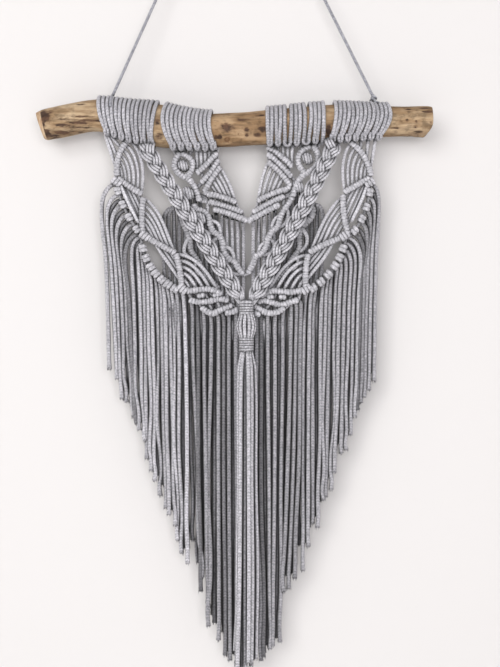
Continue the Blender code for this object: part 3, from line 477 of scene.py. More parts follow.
def cotton_finish(name, lit, deep, pitch=0.0028, bump=0.5, gap=2.0):
    """Braided cotton: matt, with painted shade between its stitches and in its gaps; each length has its
    own tone, and lengths that hang behind others a painted shade.
    """
    finish, tree, shader = new_finish(name, {
        "Roughness": 0.95, "Specular IOR Level": 0.12, "Sheen Weight": 0.22, "Sheen Roughness": 0.5})
    woven = tree.nodes.new("ShaderNodeGroup")
    woven.node_tree = braid
    woven.inputs["Pitch"].default_value = pitch
    # Painted light and shade of the braid: the colour runs from painted shade in the grooves between
    # stitches to the lit tops, with random lint.
    colour = ramp(tree, woven.outputs["Shade"], [(0.05, deep), (0.66, lit)], "LINEAR")
    place = add_node(tree, "TexCoord").outputs["Object"]
    cloud = add_node(tree, "TexNoise", {"Vector": place, "Scale": 35.0, "Detail": 3.0}).outputs["Fac"]
    # Each length's tone: its own at random, plus painted shade for cords that hang behind or under others,
    # and painted light for a few in front.
    tone = add_node(tree, "Attribute", attribute_name="tone").outputs["Fac"]
    bright = maths(tree, "MULTIPLY_ADD", tone, 0.13, maths(tree, "MULTIPLY_ADD", cloud, 0.30, 0.85))
    # Painted shade: the colour darkens where ambient occlusion finds other cords close by, in gaps and
    # crevices; gap sets how strongly.
    painted_gap_shade = add_node(tree, "AmbientOcclusion", {"Distance": 0.006}, samples=8).outputs["AO"]
    bright = maths(tree, "MULTIPLY", bright, maths(tree, "POWER", painted_gap_shade, gap))
    grey = add_node(tree, "CombineColor", {"Red": bright, "Green": bright, "Blue": bright}).outputs[0]
    colour = blended(tree, 1.0, colour, grey, "MULTIPLY")
    tree.links.new(colour, shader.inputs["Base Color"])
    roughen(tree, shader, woven.outputs["Height"], bump, 0.0006)
    return finish


thin_cotton = cotton_finish("thin grey cord", (0.50, 0.505, 0.55), (0.22, 0.22, 0.25), 0.0018)


def wound(hank, centre, radius, cord_radius, axis, turns, pitch):
    """Winds a cord round a knot or a bundle."""
    axis = np.asarray(axis, float) / np.linalg.norm(axis)
    beside = np.cross(axis, (0.0, 1.0, 0.0))
    beside /= np.linalg.norm(beside)
    out = np.cross(beside, axis)
    route = []
    for step in range(round(turns * 14) + 1):
        turn = 2 * math.pi * step / 14
        move = (step / 14 - turns / 2) * pitch * MM
        route.append(centre + axis * move + radius * MM * (beside * math.cos(turn) + out * math.sin(turn)))
    hank.lay(route, cord_radius, facing=axis, sides=7)


def make_hanger():
    hank = Hank()
    left = spot(HANGER_LEFT, HANGER_DROP, BRANCH_DEPTH - 1.0)
    right = spot(HANGER_RIGHT, HANGER_DROP, BRANCH_DEPTH)
    over = [np.array((-NAIL_BEND * math.cos(turn), 0.0, NAIL_BEND * (math.sin(turn) - 1))) * MM
            for turn in np.linspace(NAIL_ANGLE, math.pi - NAIL_ANGLE, 9)]
    legs = [left + (over[0] - left) * share for share in (0.0, 0.12, 0.5, 0.9)] + over
    legs += [over[-1] + (right - over[-1]) * share for share in (0.1, 0.5, 0.9, 1.0)]
    hank.lay(smooth(legs, 4.0), HANGER_RADIUS, sides=10)
    tucked = [left] + [round_branch(HANGER_LEFT + 0.02 * step, 0.15 * step, 3.9) for step in range(1, 9)]
    hank.lay(smooth(tucked, 2.5), HANGER_RADIUS, sides=8)
    knot = spot(HANGER_RIGHT, HANGER_DROP + 1.0, BRANCH_DEPTH)
    wound(hank, knot, 1.9, 1.5, (0.45, 0.0, 1.0), 2.2, 2.6)
    wound(hank, knot + spot(-0.5, -BRANCH_DROP + 1.0, 0), 1.6, 1.4, (1.0, 0.0, -0.3), 1.5, 2.4)
    end = [knot, round_branch(139.0, 0.25, 4.6), round_branch(141.0, 0.5, 4.4)]
    hank.lay(smooth(end, 2.5), HANGER_RADIUS * 0.9, sides=8)
    hank.make("hanger", thin_cotton, "hanging_cord")


make_hanger()

# ---------------------------------------------------------------- headings
# Four groups of braided cotton cords, each folded in half and knotted round the branch: its two
# turns lie side by side in front, and its fold crosses over its two ends below them.
CORD_RADIUS = 2.15
Heading = namedtuple("Heading", "turns left right gaps")
HEADINGS = {
    # The x of each edge on top of the branch, in front and below; gaps are (turn, width).
    "left_outer": Heading(14, (-138.5, -137, -131), (-76.5, -80.5, -80.5), ()),
    "left_collar": Heading(12, (-70, -74, -64), (-23, -24.5, -17), ()),
    "right_collar": Heading(13, (29.5, 29.5, 30), (88.5, 89, 86.5), ((5, 2.8), (9, 2.4))),
    "right_outer": Heading(14, (97, 97, 91), (152.5, 154.5, 144), ()),
}
PINCH = 0.30
TURN_STEPS = 34
FOLD_HEIGHT = 0.92  # where a fold starts from its two turns
heading_cotton = cotton_finish("grey cotton on the branch", COTTON_LIT, COTTON_DEEP)


def lean(edge, height):
    """The x of a heading's edge: on top at height 0, in front at a half, underneath at 1."""
    top, front, bottom = edge
    return (top * (1 - height) * (1 - 2 * height) + front * 4 * height * (1 - height)
            + bottom * height * (2 * height - 1))


def turn_x(row, turn, height):
    """The x of the middle of one turn of a heading at a height. Turns draw together in pairs below."""
    left, right = lean(row.left, height), lean(row.right, height)
    extra = sum(width for _, width in row.gaps)
    pitch = (right - left - extra) / row.turns
    slit = sum(width for place, width in row.gaps if turn >= place)
    pinch = PINCH * pitch * max(0.0, (height - 0.45) / 0.55) ** 1.5 * (1 if turn % 2 == 0 else -1)
    return left + pitch * (turn + 0.5) + slit + pinch


def make_heading(name, row):
    hank = Hank()
    for turn in range(row.turns):
        wobble, lift = chance.gauss(0, 0.25), CORD_RADIUS + 0.1 + chance.random() * 0.4
        route = []
        for step in range(TURN_STEPS):
            angle = 2 * math.pi * step / TURN_STEPS
            x = turn_x(row, turn, (1 - math.cos(angle)) / 2) + wobble * math.sin(2 * angle + turn)
            route.append(round_branch(x, angle, lift))
        width = (turn_x(row, 2, 0.5) - turn_x(row, 0, 0.5)) / 4
        hank.lay(route, width * 1.06, facing=(1.0, 0.0, 0.0), sides=10, closed=True)
    for turn in range(0, row.turns - 1, 2):
        first, last = turn_x(row, turn, FOLD_HEIGHT), turn_x(row, turn + 1, FOLD_HEIGHT)
        low = chance.uniform(2.66, 2.80)
        fold = [round_branch(first, 2.30, 2.4), round_branch(first - 0.7, low - 0.16, 4.0),
                round_branch((first + last) / 2, low, 5.0), round_branch(last + 0.7, low - 0.16, 4.0),
                round_branch(last, 2.30, 2.4)]
        hank.lay(smooth(fold, 1.6), 1.9, facing=(0.0, 0.5, 1.0), sides=8)
    hank.make("turns_" + name, heading_cotton, "heading_" + name)


for name, row in HEADINGS.items():
    make_heading(name, row)

# ---------------------------------------------------------------- outer panels
# From each outer heading the cords fan out and are hitched over a carried cord, again and again:
# these rows of hitches are the ridged bars that step inwards down to the tassel.
Line = namedtuple("Line", "x drop to_x to_drop bow")
Fan = namedtuple("Fan", "upper lower count first last leave meet", defaults=(0, 0))
PANEL_DEPTH = middle_depth("panel_left")
knot_cotton = cotton_finish("knotted grey cotton", (0.64, 0.63, 0.673), (0.37, 0.37, 0.396))
HITCH_CORE = 1.05
HITCH_CORD = 2.4
HITCH_PITCH = 3.05
BAR_AHEAD = 1.2  # the bars stand out in front of the cords that run between them
FAN_BEHIND = 1.4
# Bars 6 to 8 only give the fans and the fringe's roots their places: LOW_COURSES draws them.
PANEL_BARS = {
    "left_outer": {
        1: Line(-106.5, 14, -119, 52, -4.5), 2: Line(-118, 54, -94, 70, -1),
        3: Line(-92.5, 74, -93, 110, -1.5), 4: Line(-90, 113, -61, 129, 0),
        5: Line(-60, 130, -54.5, 162, 1), 6: Line(-52.5, 165, -15, 170.5, 0.5),
        7: Line(-46, 176, -6, 177, 0.5), 8: Line(-35, 183, -5, 181, -5.5),
    },
    "right_outer": {
        1: Line(114.5, 18, 135, 52, 4), 2: Line(133.5, 54, 108, 68.5, 0),
        3: Line(107, 71, 112.5, 110, -2), 4: Line(110.5, 112.5, 73.5, 128.5, -1.5),
        5: Line(72, 130.5, 69.5, 163, -1), 6: Line(68.5, 166.5, 29.5, 169.5, 0),
        7: Line(63.5, 178, 22, 177.5, 1), 8: Line(49.5, 184.5, 19, 182, 3.5),
    },
}
# Cords from one bar, or from the heading, to the next. first and last are shares of the two
# pieces' lengths for the first and the last cord; leave and meet say how squarely they join them.
# The lowest three groups are alike on both sides.
LOW_FANS = [
    Fan(5, 6, 5, (0.03, 0.93), (0.8, 0.16), 0.95, 0.5),
    Fan(6, 7, 5, (0.1, 0.05), (0.92, 0.88), 0.2, 0.2),
    Fan(7, 8, 4, (0.2, 0.05), (0.92, 0.95), 0.2, 0.2),
]
PANEL_FANS = {
    "left_outer": [
        Fan("heading", 1, 4, (0.13, 0.05), (0, 0.85), 0.3, 0),
        Fan(1, 2, 6, (0.05, 0.95), (0.74, 0.14), 0.8, 0.6),
        Fan(2, 3, 4, (0.12, 0.85), (0.8, 0.12), 0.1, 0),
        Fan(3, 4, 6, (0.02, 0.96), (0.85, 0.12), 0.6, 0.15),
        Fan(4, 5, 3, (0.3, 0.85), (0.8, 0.35), 0.1, 0),
        *LOW_FANS,
    ],
    "right_outer": [
        Fan("heading", 1, 4, (0.5, 0.05), (0.92, 0.88), 0.3, 0),
        Fan(1, 2, 6, (0.04, 0.95), (0.74, 0.16), 0.75, 0.55),
        Fan(2, 3, 4, (0.15, 0.8), (0.8, 0.15), 0.1, 0),
        Fan(3, 4, 6, (0.06, 0.96), (0.88, 0.14), 0.5, 0.15),
        Fan(4, 5, 4, (0.35, 0.8), (0.82, 0.15), 0.3, 0.1),
        *LOW_FANS,
    ],
}
# The lowest bars wander, and short rows of hitches lie between them. Their courses as (x, drop).
FIRST_LOW_BAR = 6
LOW_COURSES = {
    "left_outer": [
        [(-49.2, 167.4), (-36.7, 166), (-27, 165.2), (-20.4, 167.2), (-14.5, 171)],
        [(-46.5, 176), (-37.8, 177.8), (-28, 177.6), (-17.2, 174.8), (-8, 176.6)],
        [(-34.5, 183.2), (-29.6, 187), (-23.1, 189.4), (-16.1, 186.3), (-4.2, 181.8)],
        [(-10.5, 188.6), (-4, 187.8), (1.5, 185.6)],
        [(-38.5, 172.4), (-31.5, 171)], [(-23, 171.6), (-16.5, 170.6)],
    ],
    "right_outer": [
        [(66, 166.6), (53.5, 168.4), (44.8, 167.7), (36, 167.2), (29.6, 170.2), (25, 173.7)],
        [(61.6, 175.8), (52.4, 178.6), (44.8, 181), (36, 178.6), (28.5, 176.4), (21.5, 178)],
        [(48, 183.6), (41.5, 187.8), (32.9, 189), (25.3, 186.3), (18, 181.3)],
        [(24, 190.4), (18, 188.6)],
        [(50, 173.4), (43, 173)], [(37.5, 172.6), (31, 173.2)],
    ],
}
# The cord along each open edge, and the knots on it that tie the fringe's cords.
EDGES = {
    "left_outer": [Line(-119.5, 60, -93, 113, -3.5), Line(-95, 113, -53, 168, -10.5)],
    "right_outer": [Line(133.5, 60, 113, 113, 5.5), Line(110, 113, 70, 168, 8)],
}
EDGE_KNOTS = {
    "left_outer": [(0.12, 0.36, 0.6, 0.84), (0.15, 0.29, 0.43, 0.55, 0.67, 0.78, 0.89)],
    "right_outer": [(0.14, 0.4, 0.62, 0.86), (0.16, 0.3, 0.44, 0.6, 0.75, 0.89)],
}


def chord(row):
    """The straight length of a bowed line."""
    return math.hypot(row.to_x - row.x, row.to_drop - row.drop)


def bowed(row, share):
    """The x and drop at a share of the length of a bowed line."""
    run, fall, length = row.to_x - row.x, row.to_drop - row.drop, chord(row)
    off = row.bow * 4 * share * (1 - share)
    return row.x + run * share + off * fall / length, row.drop + fall * share - off * run / length


def bowed_route(row, depth, steps, bulge=0.0):
    """The route of a cord along a bowed line, with its middle lifted forward by a bulge."""
    return np.array([spot(*bowed(row, share), depth - bulge * math.sin(math.pi * share))
                     for share in np.linspace(0, 1, steps + 1)])


def traced(points, depth, spacing):
    """A smooth route through (x, drop) points at one depth."""
    return smooth([spot(x, drop, depth) for x, drop in points], spacing)


def hitch(hank, centre, ahead, slant, core=HITCH_CORE, cord=HITCH_CORD, tone=0.2):
    """One turn of cord round a carried one."""
    ahead = np.asarray(ahead, float) / np.linalg.norm(ahead)
    across = np.cross(ahead, (0.0, 1.0, 0.0)) + slant * ahead
    size = core * (1 + chance.gauss(0, 0.04)) * MM
    turns = 2 * math.pi * np.arange(12) / 12
    inward = np.array((0.0, 1.0, 0.0))
    route = centre + size * (np.cos(turns)[:, None] * across + np.sin(turns)[:, None] * inward)
    hank.lay(route, cord * (1 + chance.gauss(0, 0.03)), facing=ahead, sides=7, closed=True, tone=tone)


def hitched_course(hank, points, depth, slant, tone=0.2):
    """Hitches side by side along a smooth course of (x, drop) points, round the carried cord."""
    course = traced(points, depth, 1.0)
    along = np.concatenate(([0.0], np.cumsum(np.linalg.norm(np.diff(course, axis=0), axis=1)))) / MM
    count = max(2, round(along[-1] / HITCH_PITCH))
    hank.lay(course[::3] if len(course) > 9 else course, HITCH_CORE, sides=6)
    for index in range(count):
        reach = along[-1] * (index + 0.5 + (0.05 if index % 2 == 0 else -0.05)) / count
        here, after = (np.array([np.interp(reach + more, along, course[:, axis]) for axis in range(3)])
                       for more in (-0.8, 0.8))
        hitch(hank, (here + after) / 2, after - here, slant + chance.gauss(0, 0.05), tone=tone)


def hitched_bar(hank, row, slant):
    """Hitches side by side along a bowed line."""
    points = [bowed(row, share) for share in np.linspace(0, 1, 5)]
    hitched_course(hank, points, PANEL_DEPTH - BAR_AHEAD, slant)


def square_to(row, toward, away):
    """The way square to a line, towards another point, as (x, drop)."""
    side = np.array((row.to_drop - row.drop, -(row.to_x - row.x))) / chord(row)
    return side if side @ (np.array(toward) - away) > 0 else -side


def lay_fans(hank, fans, bars, heading):
    """The cords between two bars: each leaves the one and meets the other more or less squarely."""
    for fan in fans:
        for index in range(fan.count):
            first, last = np.array(fan.first), np.array(fan.last)
            upper, lower = first + (last - first) * index / max(1, fan.count - 1)
            finish = np.array(bowed(bars[fan.lower], lower))
            if fan.upper == "heading":
                x = heading.left[2] + (heading.right[2] - heading.left[2]) * upper
                start = np.array((x, between(x, "drop") + between(x, "diameter") / 2 + 0.5))
                out = np.array((0.0, 1.0))
            else:
                start = np.array(bowed(bars[fan.upper], upper))
                out = square_to(bars[fan.upper], finish, start)
            reach = math.dist(start, finish)
            out = out * reach * fan.leave
            into = -square_to(bars[fan.lower], start, finish) * reach * fan.meet
            straight = finish - start
            out, into = out + straight * (1 - fan.leave), into + straight * (1 - fan.meet)
            bulge = chance.uniform(0.2, 0.9) if reach > 12 else 0.0
            route = []
            for t in np.linspace(0, 1, max(4, round(reach / 3.0)) + 1):
                place = curved(t, start, out, finish, into)
                route.append(spot(*place, PANEL_DEPTH + FAN_BEHIND - bulge * math.sin(math.pi * t)))
            hank.lay(route, CORD_RADIUS * chance.uniform(0.88, 0.97))


def edge_knot(hank, row, share, depth):
    """The knot that ties two fringe cords to an edge cord: two fat turns side by side."""
    here, after = spot(*bowed(row, share), depth), spot(*bowed(row, share + 0.01), depth)
    ahead = (after - here) / np.linalg.norm(after - here)
    for move in (-1.8, 1.8):
        hitch(hank, here + ahead * move * MM, ahead, chance.gauss(0.1, 0.08), core=2.1, cord=2.4)


# A slack cord in front of each upper edge, and the fat knots where the bars and the edge cross.
SLACK = {
    "left_outer": Line(-116, 59, -97, 99, -1),
    "right_outer": Line(131.5, 60, 115, 98, 1),
}
CROSSINGS = {
    "left_outer": [(-119, 58), (-91, 112), (-53.5, 165)],
    "right_outer": [(133.5, 59), (108.5, 111.5), (70, 165)],
}


def make_panel(side):
    name, turned = side + "_outer", 1 if side == "left" else -1
    hank = Hank()
    bars = PANEL_BARS[name]
    for number, row in bars.items():
        if number < FIRST_LOW_BAR:
            hitched_bar(hank, row, 0.2 * turned)
    for course in LOW_COURSES[name]:
        hitched_course(hank, course, PANEL_DEPTH - BAR_AHEAD, 0.2 * turned)
    lay_fans(hank, PANEL_FANS[name], bars, HEADINGS[name])
    for row, knots in zip(EDGES[name], EDGE_KNOTS[name]):
        hank.lay(bowed_route(row, PANEL_DEPTH + 0.5, 16), 1.7, tone=-1.5)
        for share in knots:
            edge_knot(hank, row, share, PANEL_DEPTH - 0.5)
    # The slack cord is painted lighter, as painted light on it where it lies in front.
    hank.lay(bowed_route(SLACK[name], PANEL_DEPTH - 1.5, 10, 1.0), 1.9, tone=1.4)
    for x, drop in CROSSINGS[name]:
        for move in (-3.4, 0.0, 3.4):
            centre = spot(x + move * turned * 0.8, drop + move * 0.6, PANEL_DEPTH - 0.8)
            hitch(hank, centre, np.array((0.8 * turned, 0.0, -0.6)), 0.1, core=2.9, cord=2.0, tone=0.8)
    hank.make("knots_" + name, knot_cotton, "panel_" + side)


make_panel("left")
make_panel("right")

# ---------------------------------------------------------------- collar
# The cords of the two inner headings, hitched in bars, in diamonds round a berry knot and in open
# chains. Its halves meet in a V above the middle, and the chains go on under the plaits.
COLLAR_BARS = {
    "left_collar": {
        "a": Line(-19, 29, -39, 49, 1), "b": Line(-17.5, 36, -34.5, 59, 1),
        "c": Line(-16, 43, -30.5, 66, -1), "elbow": Line(-30.8, 65, -29, 70, -1),
        "d": Line(-29, 70, 0, 78.5, 1), "e": Line(-27, 77.5, 6.5, 88.5, 0.5),
        "f": Line(-22, 85, 11.5, 97, 1), "ring left": Line(-56, 29, -50, 54, -8.5),
        "ring right": Line(-54.5, 29.5, -48, 52.5, 8), "cross": Line(-51, 51, -36.5, 77, 2.5),
    },
    "right_collar": {
        "a": Line(31.5, 23, 56, 43, 1), "b": Line(31.5, 30, 55, 53, 1), "c": Line(32, 38, 53, 60, 1.5),
        "elbow": Line(53.2, 59.5, 51.5, 65, 1), "d": Line(51.5, 65, 21.8, 77, -1),
        "e": Line(48, 72, 17, 88.5, -0.5), "f": Line(43, 80.5, 11.5, 97.5, -0.5),
        "ring left": Line(74, 22, 68, 49, -9), "ring right": Line(77, 21.5, 69, 50, 9),
        "cross": Line(69.5, 49, 57, 72, -2.5),
    },
}
# The cords inside the V, and the pair below the crossing, are alike on both sides.
VEE_FANS = [
    Fan("c", "d", 5, (0.02, 0.97), (0.72, 0.36), 0.4, 0.25),
    Fan("d", "e", 5, (0.1, 0.15), (0.97, 0.9)),
    Fan("e", "f", 5, (0.1, 0.1), (0.97, 0.9)),
]
CROSS_FAN = Fan("cross", "e", 2, (0.85, 0), (0.98, 0.08))
COLLAR_FANS = {
    "left_collar": [
        Fan("heading", "a", 6, (0.97, 0.02), (0.52, 0.98)),
        Fan("heading", "ring left", 4, (0.03, 0.12), (0.25, 0), 0.2, 0),
        Fan("heading", "ring right", 2, (0.3, 0), (0.42, 0.22), 0.2, 0),
        Fan("a", "b", 3, (0.05, 0.05), (0.9, 0.8)),
        Fan("b", "c", 3, (0.05, 0.05), (0.9, 0.8)),
        *VEE_FANS,
        Fan("b", "cross", 1, (0.95, 0.6), (0.95, 0.6)),
        CROSS_FAN,
    ],
    "right_collar": [
        Fan("heading", "a", 6, (0.05, 0.02), (0.47, 0.98)),
        Fan("heading", "ring right", 4, (0.97, 0.12), (0.78, 0), 0.2, 0),
        Fan("heading", "ring left", 2, (0.72, 0), (0.6, 0.22), 0.2, 0),
        Fan("a", "b", 3, (0.05, 0.05), (0.9, 0.85)),
        Fan("b", "c", 3, (0.05, 0.05), (0.9, 0.85)),
        *VEE_FANS,
        Fan("b", "cross", 1, (0.95, 0.5), (0.95, 0.5)),
        CROSS_FAN,
    ],
}
# The open chains: a hitched cord that winds down and inwards, with loops along its sides.
CHAINS = {
    "left_collar": [
        [(-42, 80), (-40, 85), (-33, 87), (-28, 92), (-26, 100), (-23, 107), (-16.5, 112),
         (-13.5, 119), (-12.5, 126), (-8, 134), (-1.5, 138), (2, 144), (7, 150)],
        [(-52, 72), (-55, 84), (-53, 98), (-47, 112), (-45.5, 126), (-38, 138),
         (-33, 147), (-18, 165)],
    ],
    "right_collar": [
        [(62, 60), (57, 66), (55.5, 74), (50.7, 81.6), (46, 89), (43.5, 96), (42, 102),
         (36, 107.5), (32, 115), (30, 123), (26.5, 128.5), (20, 132), (17, 140), (12, 149)],
        [(74, 70), (77, 80), (76, 92), (67, 102), (64, 113), (64, 124), (56, 136),
         (49, 147), (38, 158)],
    ],
}
LOOPS = {
    "left_collar": [
        [(-36, 71), (-30, 74), (-28, 80), (-29, 88)],
        [(-26, 96), (-18.5, 99.5), (-16, 106), (-17, 112)],
        [(-12.5, 122), (-5.5, 125.5), (-2.5, 132), (-2.5, 138)],
        [(-40, 86), (-39, 97), (-33, 106), (-24, 109)],
        [(-17, 112.5), (-22.5, 117), (-21, 126), (-10, 133)],
        [(-8, 135), (-9, 142), (-3, 149), (4, 150)],
        [(-46, 112), (-51, 121), (-51.5, 129), (-46, 134)],
        [(-38, 136), (-41, 142), (-37, 150), (-30, 152)],
        [(4, 149), (8.5, 150.5), (11, 149.5), (15, 148)],
    ],
    "right_collar": [
        [(54.5, 68), (48.5, 73), (47.5, 80), (50, 85)],
        [(45.5, 90), (38.5, 96), (36.5, 103), (37.5, 108)],
        [(31, 118), (25, 122), (23, 127.5), (23, 132)],
        [(50, 82), (52, 92), (47, 101), (42, 103)],
        [(33, 114), (38, 120), (35, 128), (27, 131)],
        [(66, 104), (71, 113), (70, 122), (64, 128)],
        [(60, 131), (62, 139), (57, 145), (50, 146)],
    ],
}
LIT_LOOPS = 3  # the others lie in the shade of the plaits
BERRIES = {
    "left_collar": [(-53, 41.5), (-47.5, 69), (-36, 94)],
    "right_collar": [(71, 34), (62, 62)],
}
BERRY_REACH = 5.4


def berry_knot(hank, x, drop, depth):
    """A round knot of four cords that bulge over one another."""
    for index in range(4):
        off = (index - 1.5) * BERRY_REACH * 0.45
        route = []
        for step in range(9):
            angle = math.pi * (step / 8 - 0.5)
            reach = BERRY_REACH * math.sqrt(max(0.15, 1 - (off / BERRY_REACH) ** 2))
            route.append(spot(x + off + 0.25 * reach * math.sin(angle), drop + reach * math.sin(angle),
                              depth - 0.9 * reach * math.cos(angle)))
        hank.lay(smooth(route, 1.5), BERRY_REACH * 0.30, facing=(1.0, 0.2, 0.1), sides=7)


def make_collar():
    hank = Hank()
    for name, bars in COLLAR_BARS.items():
        slant = 0.2 if name == "left_collar" else -0.2
        for row in bars.values():
            hitched_bar(hank, row, slant)
        lay_fans(hank, COLLAR_FANS[name], bars, HEADINGS[name])
        # The second chain lies further back, under the plait, and is painted darker, as painted shade.
        for course, behind, tone in zip(CHAINS[name], (1.0, 3.5), (0.2, -2.0)):
            hitched_course(hank, course, PANEL_DEPTH + behind, slant, tone)
        for index, loop in enumerate(LOOPS[name]):
            tone = 0.5 if index < LIT_LOOPS else -1.2
            hank.lay(traced(loop, PANEL_DEPTH + 2.0, 2.0), CORD_RADIUS, tone=tone)
        for x, drop in BERRIES[name]:
            berry_knot(hank, x, drop, PANEL_DEPTH + 1.5)
    hank.make("collar_knots", knot_cotton, "collar")


make_collar()

# ---------------------------------------------------------------- plaits
# Two flat plaits, each of three strands of three cords, that run down and inwards in front of the
# knotted work, from the outer headings to the gathering wrap.
PLAITS = {
    "left": Line(-88.5, 26.5, 8.5, 180.5, -0.5),
    "right": Line(96, 26.5, 13.5, 180.5, 1.8),
}
PLAIT_DEPTH = middle_depth("plait_left")
PLAIT_PERIOD = 40.0
PLAIT_SWING = 4.3
PLAIT_LIFT = 3.0
PLAIT_CORD = 1.42


def make_plait(side, row):
    hank = Hank()
    length = chord(row)
    periods = length / PLAIT_PERIOD
    steps = round(periods * 18)
    run, fall = (row.to_x - row.x) / length, (row.to_drop - row.drop) / length
    for strand in range(3):
        centre = []
        for step in range(-4, steps + 1):
            share = step / steps
            turn = 2 * math.pi * (periods * share + strand / 3)
            x, drop = bowed(row, max(0.0, share))
            drop += min(0.0, share) * length
            narrow = min(1.0, 0.35 + max(0.0, 1 - share) * 7) * (1.0 if share > 0 else 1.2)
            swing = PLAIT_SWING * narrow * math.sin(turn)
            depth = PLAIT_DEPTH + PLAIT_LIFT * narrow * math.sin(2 * turn) + max(0, -step) * 1.5
            centre.append(spot(x + swing * fall, drop - swing * run, depth))
        centre = np.array(centre)
        beside = unit(np.cross(unit(np.gradient(centre, axis=0)), (0.0, 1.0, 0.0)))
        shares = np.linspace(0, 1, len(centre))
        pinch = np.clip((1 - shares) * 12, 0.45, 1.0)
        for cord in (-1, 0, 1):
            crown = 0.35 * MM * (1 - abs(cord))
            aside = beside * (cord * 1.88 * PLAIT_CORD * MM) * pinch[:, None]
            hank.lay(centre + aside - np.array((0, crown, 0)), PLAIT_CORD * 1.05, tone=0.5)
    hank.make("plaited_cords_" + side, knot_cotton, "plait_" + side)


for side, row in PLAITS.items():
    make_plait(side, row)

# ---------------------------------------------------------------- fringes
# Long cords knotted to the panels' edges and lowest bars, and behind the collar. They hang side by
# side in front of cords painted darker as shade, and are cut to a long point, with ends that fray.
TIP_LINE = [
    (-128, 245), (-112, 276), (-97, 305), (-85, 352), (-70, 384), (-55, 428), (-36, 460), (-28, 500),
    (-10, 532), (0, 542), (26, 540), (42, 518), (48, 470), (58, 458), (72, 430), (85, 398), (98, 350),
    (111, 324), (124, 282), (140, 256),
]
TASSEL_X = 10.5
FRINGE_RADIUS = 2.3
FRINGE_DEPTH = middle_depth("fringe_left_outer")
BACK_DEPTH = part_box("fringe_back")[1].y / MM - FRINGE_RADIUS
HALF_WAY = 226.0  # the drop at which a cord passes the x half way down
fringe_cotton = cotton_finish(
    "hanging grey cotton", (0.585, 0.575, 0.615), (0.27, 0.27, 0.29), bump=0.35, gap=2.5)
# The front cords, from left to right: x half way down, x and drop of the tip, and how light.
Strand = namedtuple("Strand", "x tip_x tip tone")


def strands(*rows):
    """Front cords, each from a row of numbers."""
    return [Strand(*row) for row in rows]


UPPER_LEFT = strands(
    (-127, -126.5, 245, 0), (-122, -120, 255, 0.6), (-117.5, -114.5, 275, -0.2), (-113, -110, 278, -1),
    (-108.2, -103, 293, -0.4), (-104.8, -100.5, 300, -3.4),
)
LOWER_LEFT = strands(
    (-101.4, -97, 306, -0.4), (-95.2, -92, 317, 0.9), (-91, -89.5, 335, -0.6), (-87.2, -85.5, 347, 0.6),
    (-83.4, -81.5, 357, 0.6), (-78, -76, 372, 0.1), (-73.6, -70, 384, -0.8), (-70.2, -67, 391, 0.4),
    (-66, -61.5, 402, 0), (-62, -58.4, 417, 0.9), (-57, -54.4, 430, 0), (-50.5, -49, 440, 0.6),
)
INNER_LEFT = strands(
    (-43.5, -34.4, 454, 0.6), (-38, -35.4, 468, -2), (-32, -28, 489, 0.8), (-25, -27.5, 503, 0.4),
    (-17.6, -17, 517, 0.6), (-12.4, -10.5, 532, -1.2), (-7.3, -6, 537, 0.3), (-0.4, 1, 542, 0.5),
)
INNER_RIGHT = strands(
    (21, 25, 538, 0), (25.5, 28, 534, -1.8), (31.8, 34.5, 526, 0.8), (39, 37, 523, 0.6),
    (47, 44, 519, 0.7), (54.8, 47, 468, 0.4), (60, 53, 465, 0.5), (64.2, 59, 455, -0.8),
)
LOWER_RIGHT = strands(
    (67.8, 67, 447, 0.2), (73.2, 72, 423, 0.7), (77, 77, 400, -0.6), (84.6, 82, 404, 0.1),
    (88.9, 87, 376, 0.6), (92.8, 90, 373, -0.4), (98.3, 95, 366, 0.8), (102.4, 98.6, 349, 0.2),
    (107.2, 105, 329.5, 0.3), (112, 109.5, 326, 0.7), (116.6, 115, 311, -0.2), (121.6, 119, 293, 0.5),
)
UPPER_RIGHT = strands(
    (123.4, 121.5, 286, -3.4), (126.8, 125, 279, -1.4), (130, 129, 273, -0.4), (134, 133, 266, 0.4),
    (138.4, 138.6, 257, 0.4),
)
# lean says how far the cords hang outwards at their shoulders, as a share of the way to the middle.
Fringe = namedtuple("Fringe", "root start end lean strands")
FRINGES = {
    "left_outer": [Fringe(EDGES["left_outer"][0], 0, 0.93, 0.055, UPPER_LEFT),
                   Fringe(EDGES["left_outer"][1], 0, 0.97, 0.03, LOWER_LEFT)],
    "left_inner": [Fringe(PANEL_BARS["left_outer"][7], 0, 0.2, 0.012, INNER_LEFT[:2]),
                   Fringe(PANEL_BARS["left_outer"][8], 0.06, 0.98, 0, INNER_LEFT[2:])],
    "right_inner": [Fringe(PANEL_BARS["right_outer"][8], 0.98, 0.04, 0, INNER_RIGHT[:5]),
                    Fringe(PANEL_BARS["right_outer"][7], 0.24, 0, 0.012, INNER_RIGHT[5:])],
    "right_outer": [Fringe(EDGES["right_outer"][1], 0.97, 0, 0.03, LOWER_RIGHT),
                    Fringe(EDGES["right_outer"][0], 0.93, 0, 0.035, UPPER_RIGHT)],
}
# The cords of the second row are painted darker, as painted shade.
SECOND_ROW = 3.4  # behind the first, with darker cords in its gaps
SHADE = -4.2
SINGLE_FROM = 133.0  # beyond this distance from the middle there is no second row
# Painted light and shade: how much lighter or darker each fringe's front row is painted, lighter on the
# left where the light falls and darker in the middle behind the tassel, and the painted shade of the cords
# behind its first row.
FRINGE_LIGHT_AND_SHADE = {"left_outer": (0.3, -2.8), "left_inner": (-2.6, SHADE), "right_inner": (-2.4, SHADE),
                "right_outer": (-1.2, -3.8)}
# Where the back fringe is knotted, as (x, drop): beside the outer panels, along the chains and the V.
BACK_ROOTS = [
    (-72, 84), (-57, 84), (-50, 76), (-44, 68), (-36, 72), (-30, 84), (-22, 96), (-19, 90), (10.5, 98),
    (39.5, 86), (43, 96), (51, 80), (57, 68), (63, 66), (71, 84), (90, 80),
]
BACK_LEAN = 0.03
BACK_SPACING = 5.2
BACK_GAP = (9.0, 14.5)  # no cord hangs here, where light shows below the V
BACK_ENDS = (-63.0, 81.0)  # the outermost knots
BACK_INNER = (-18.0, 42.0)  # the cords that show inside the V


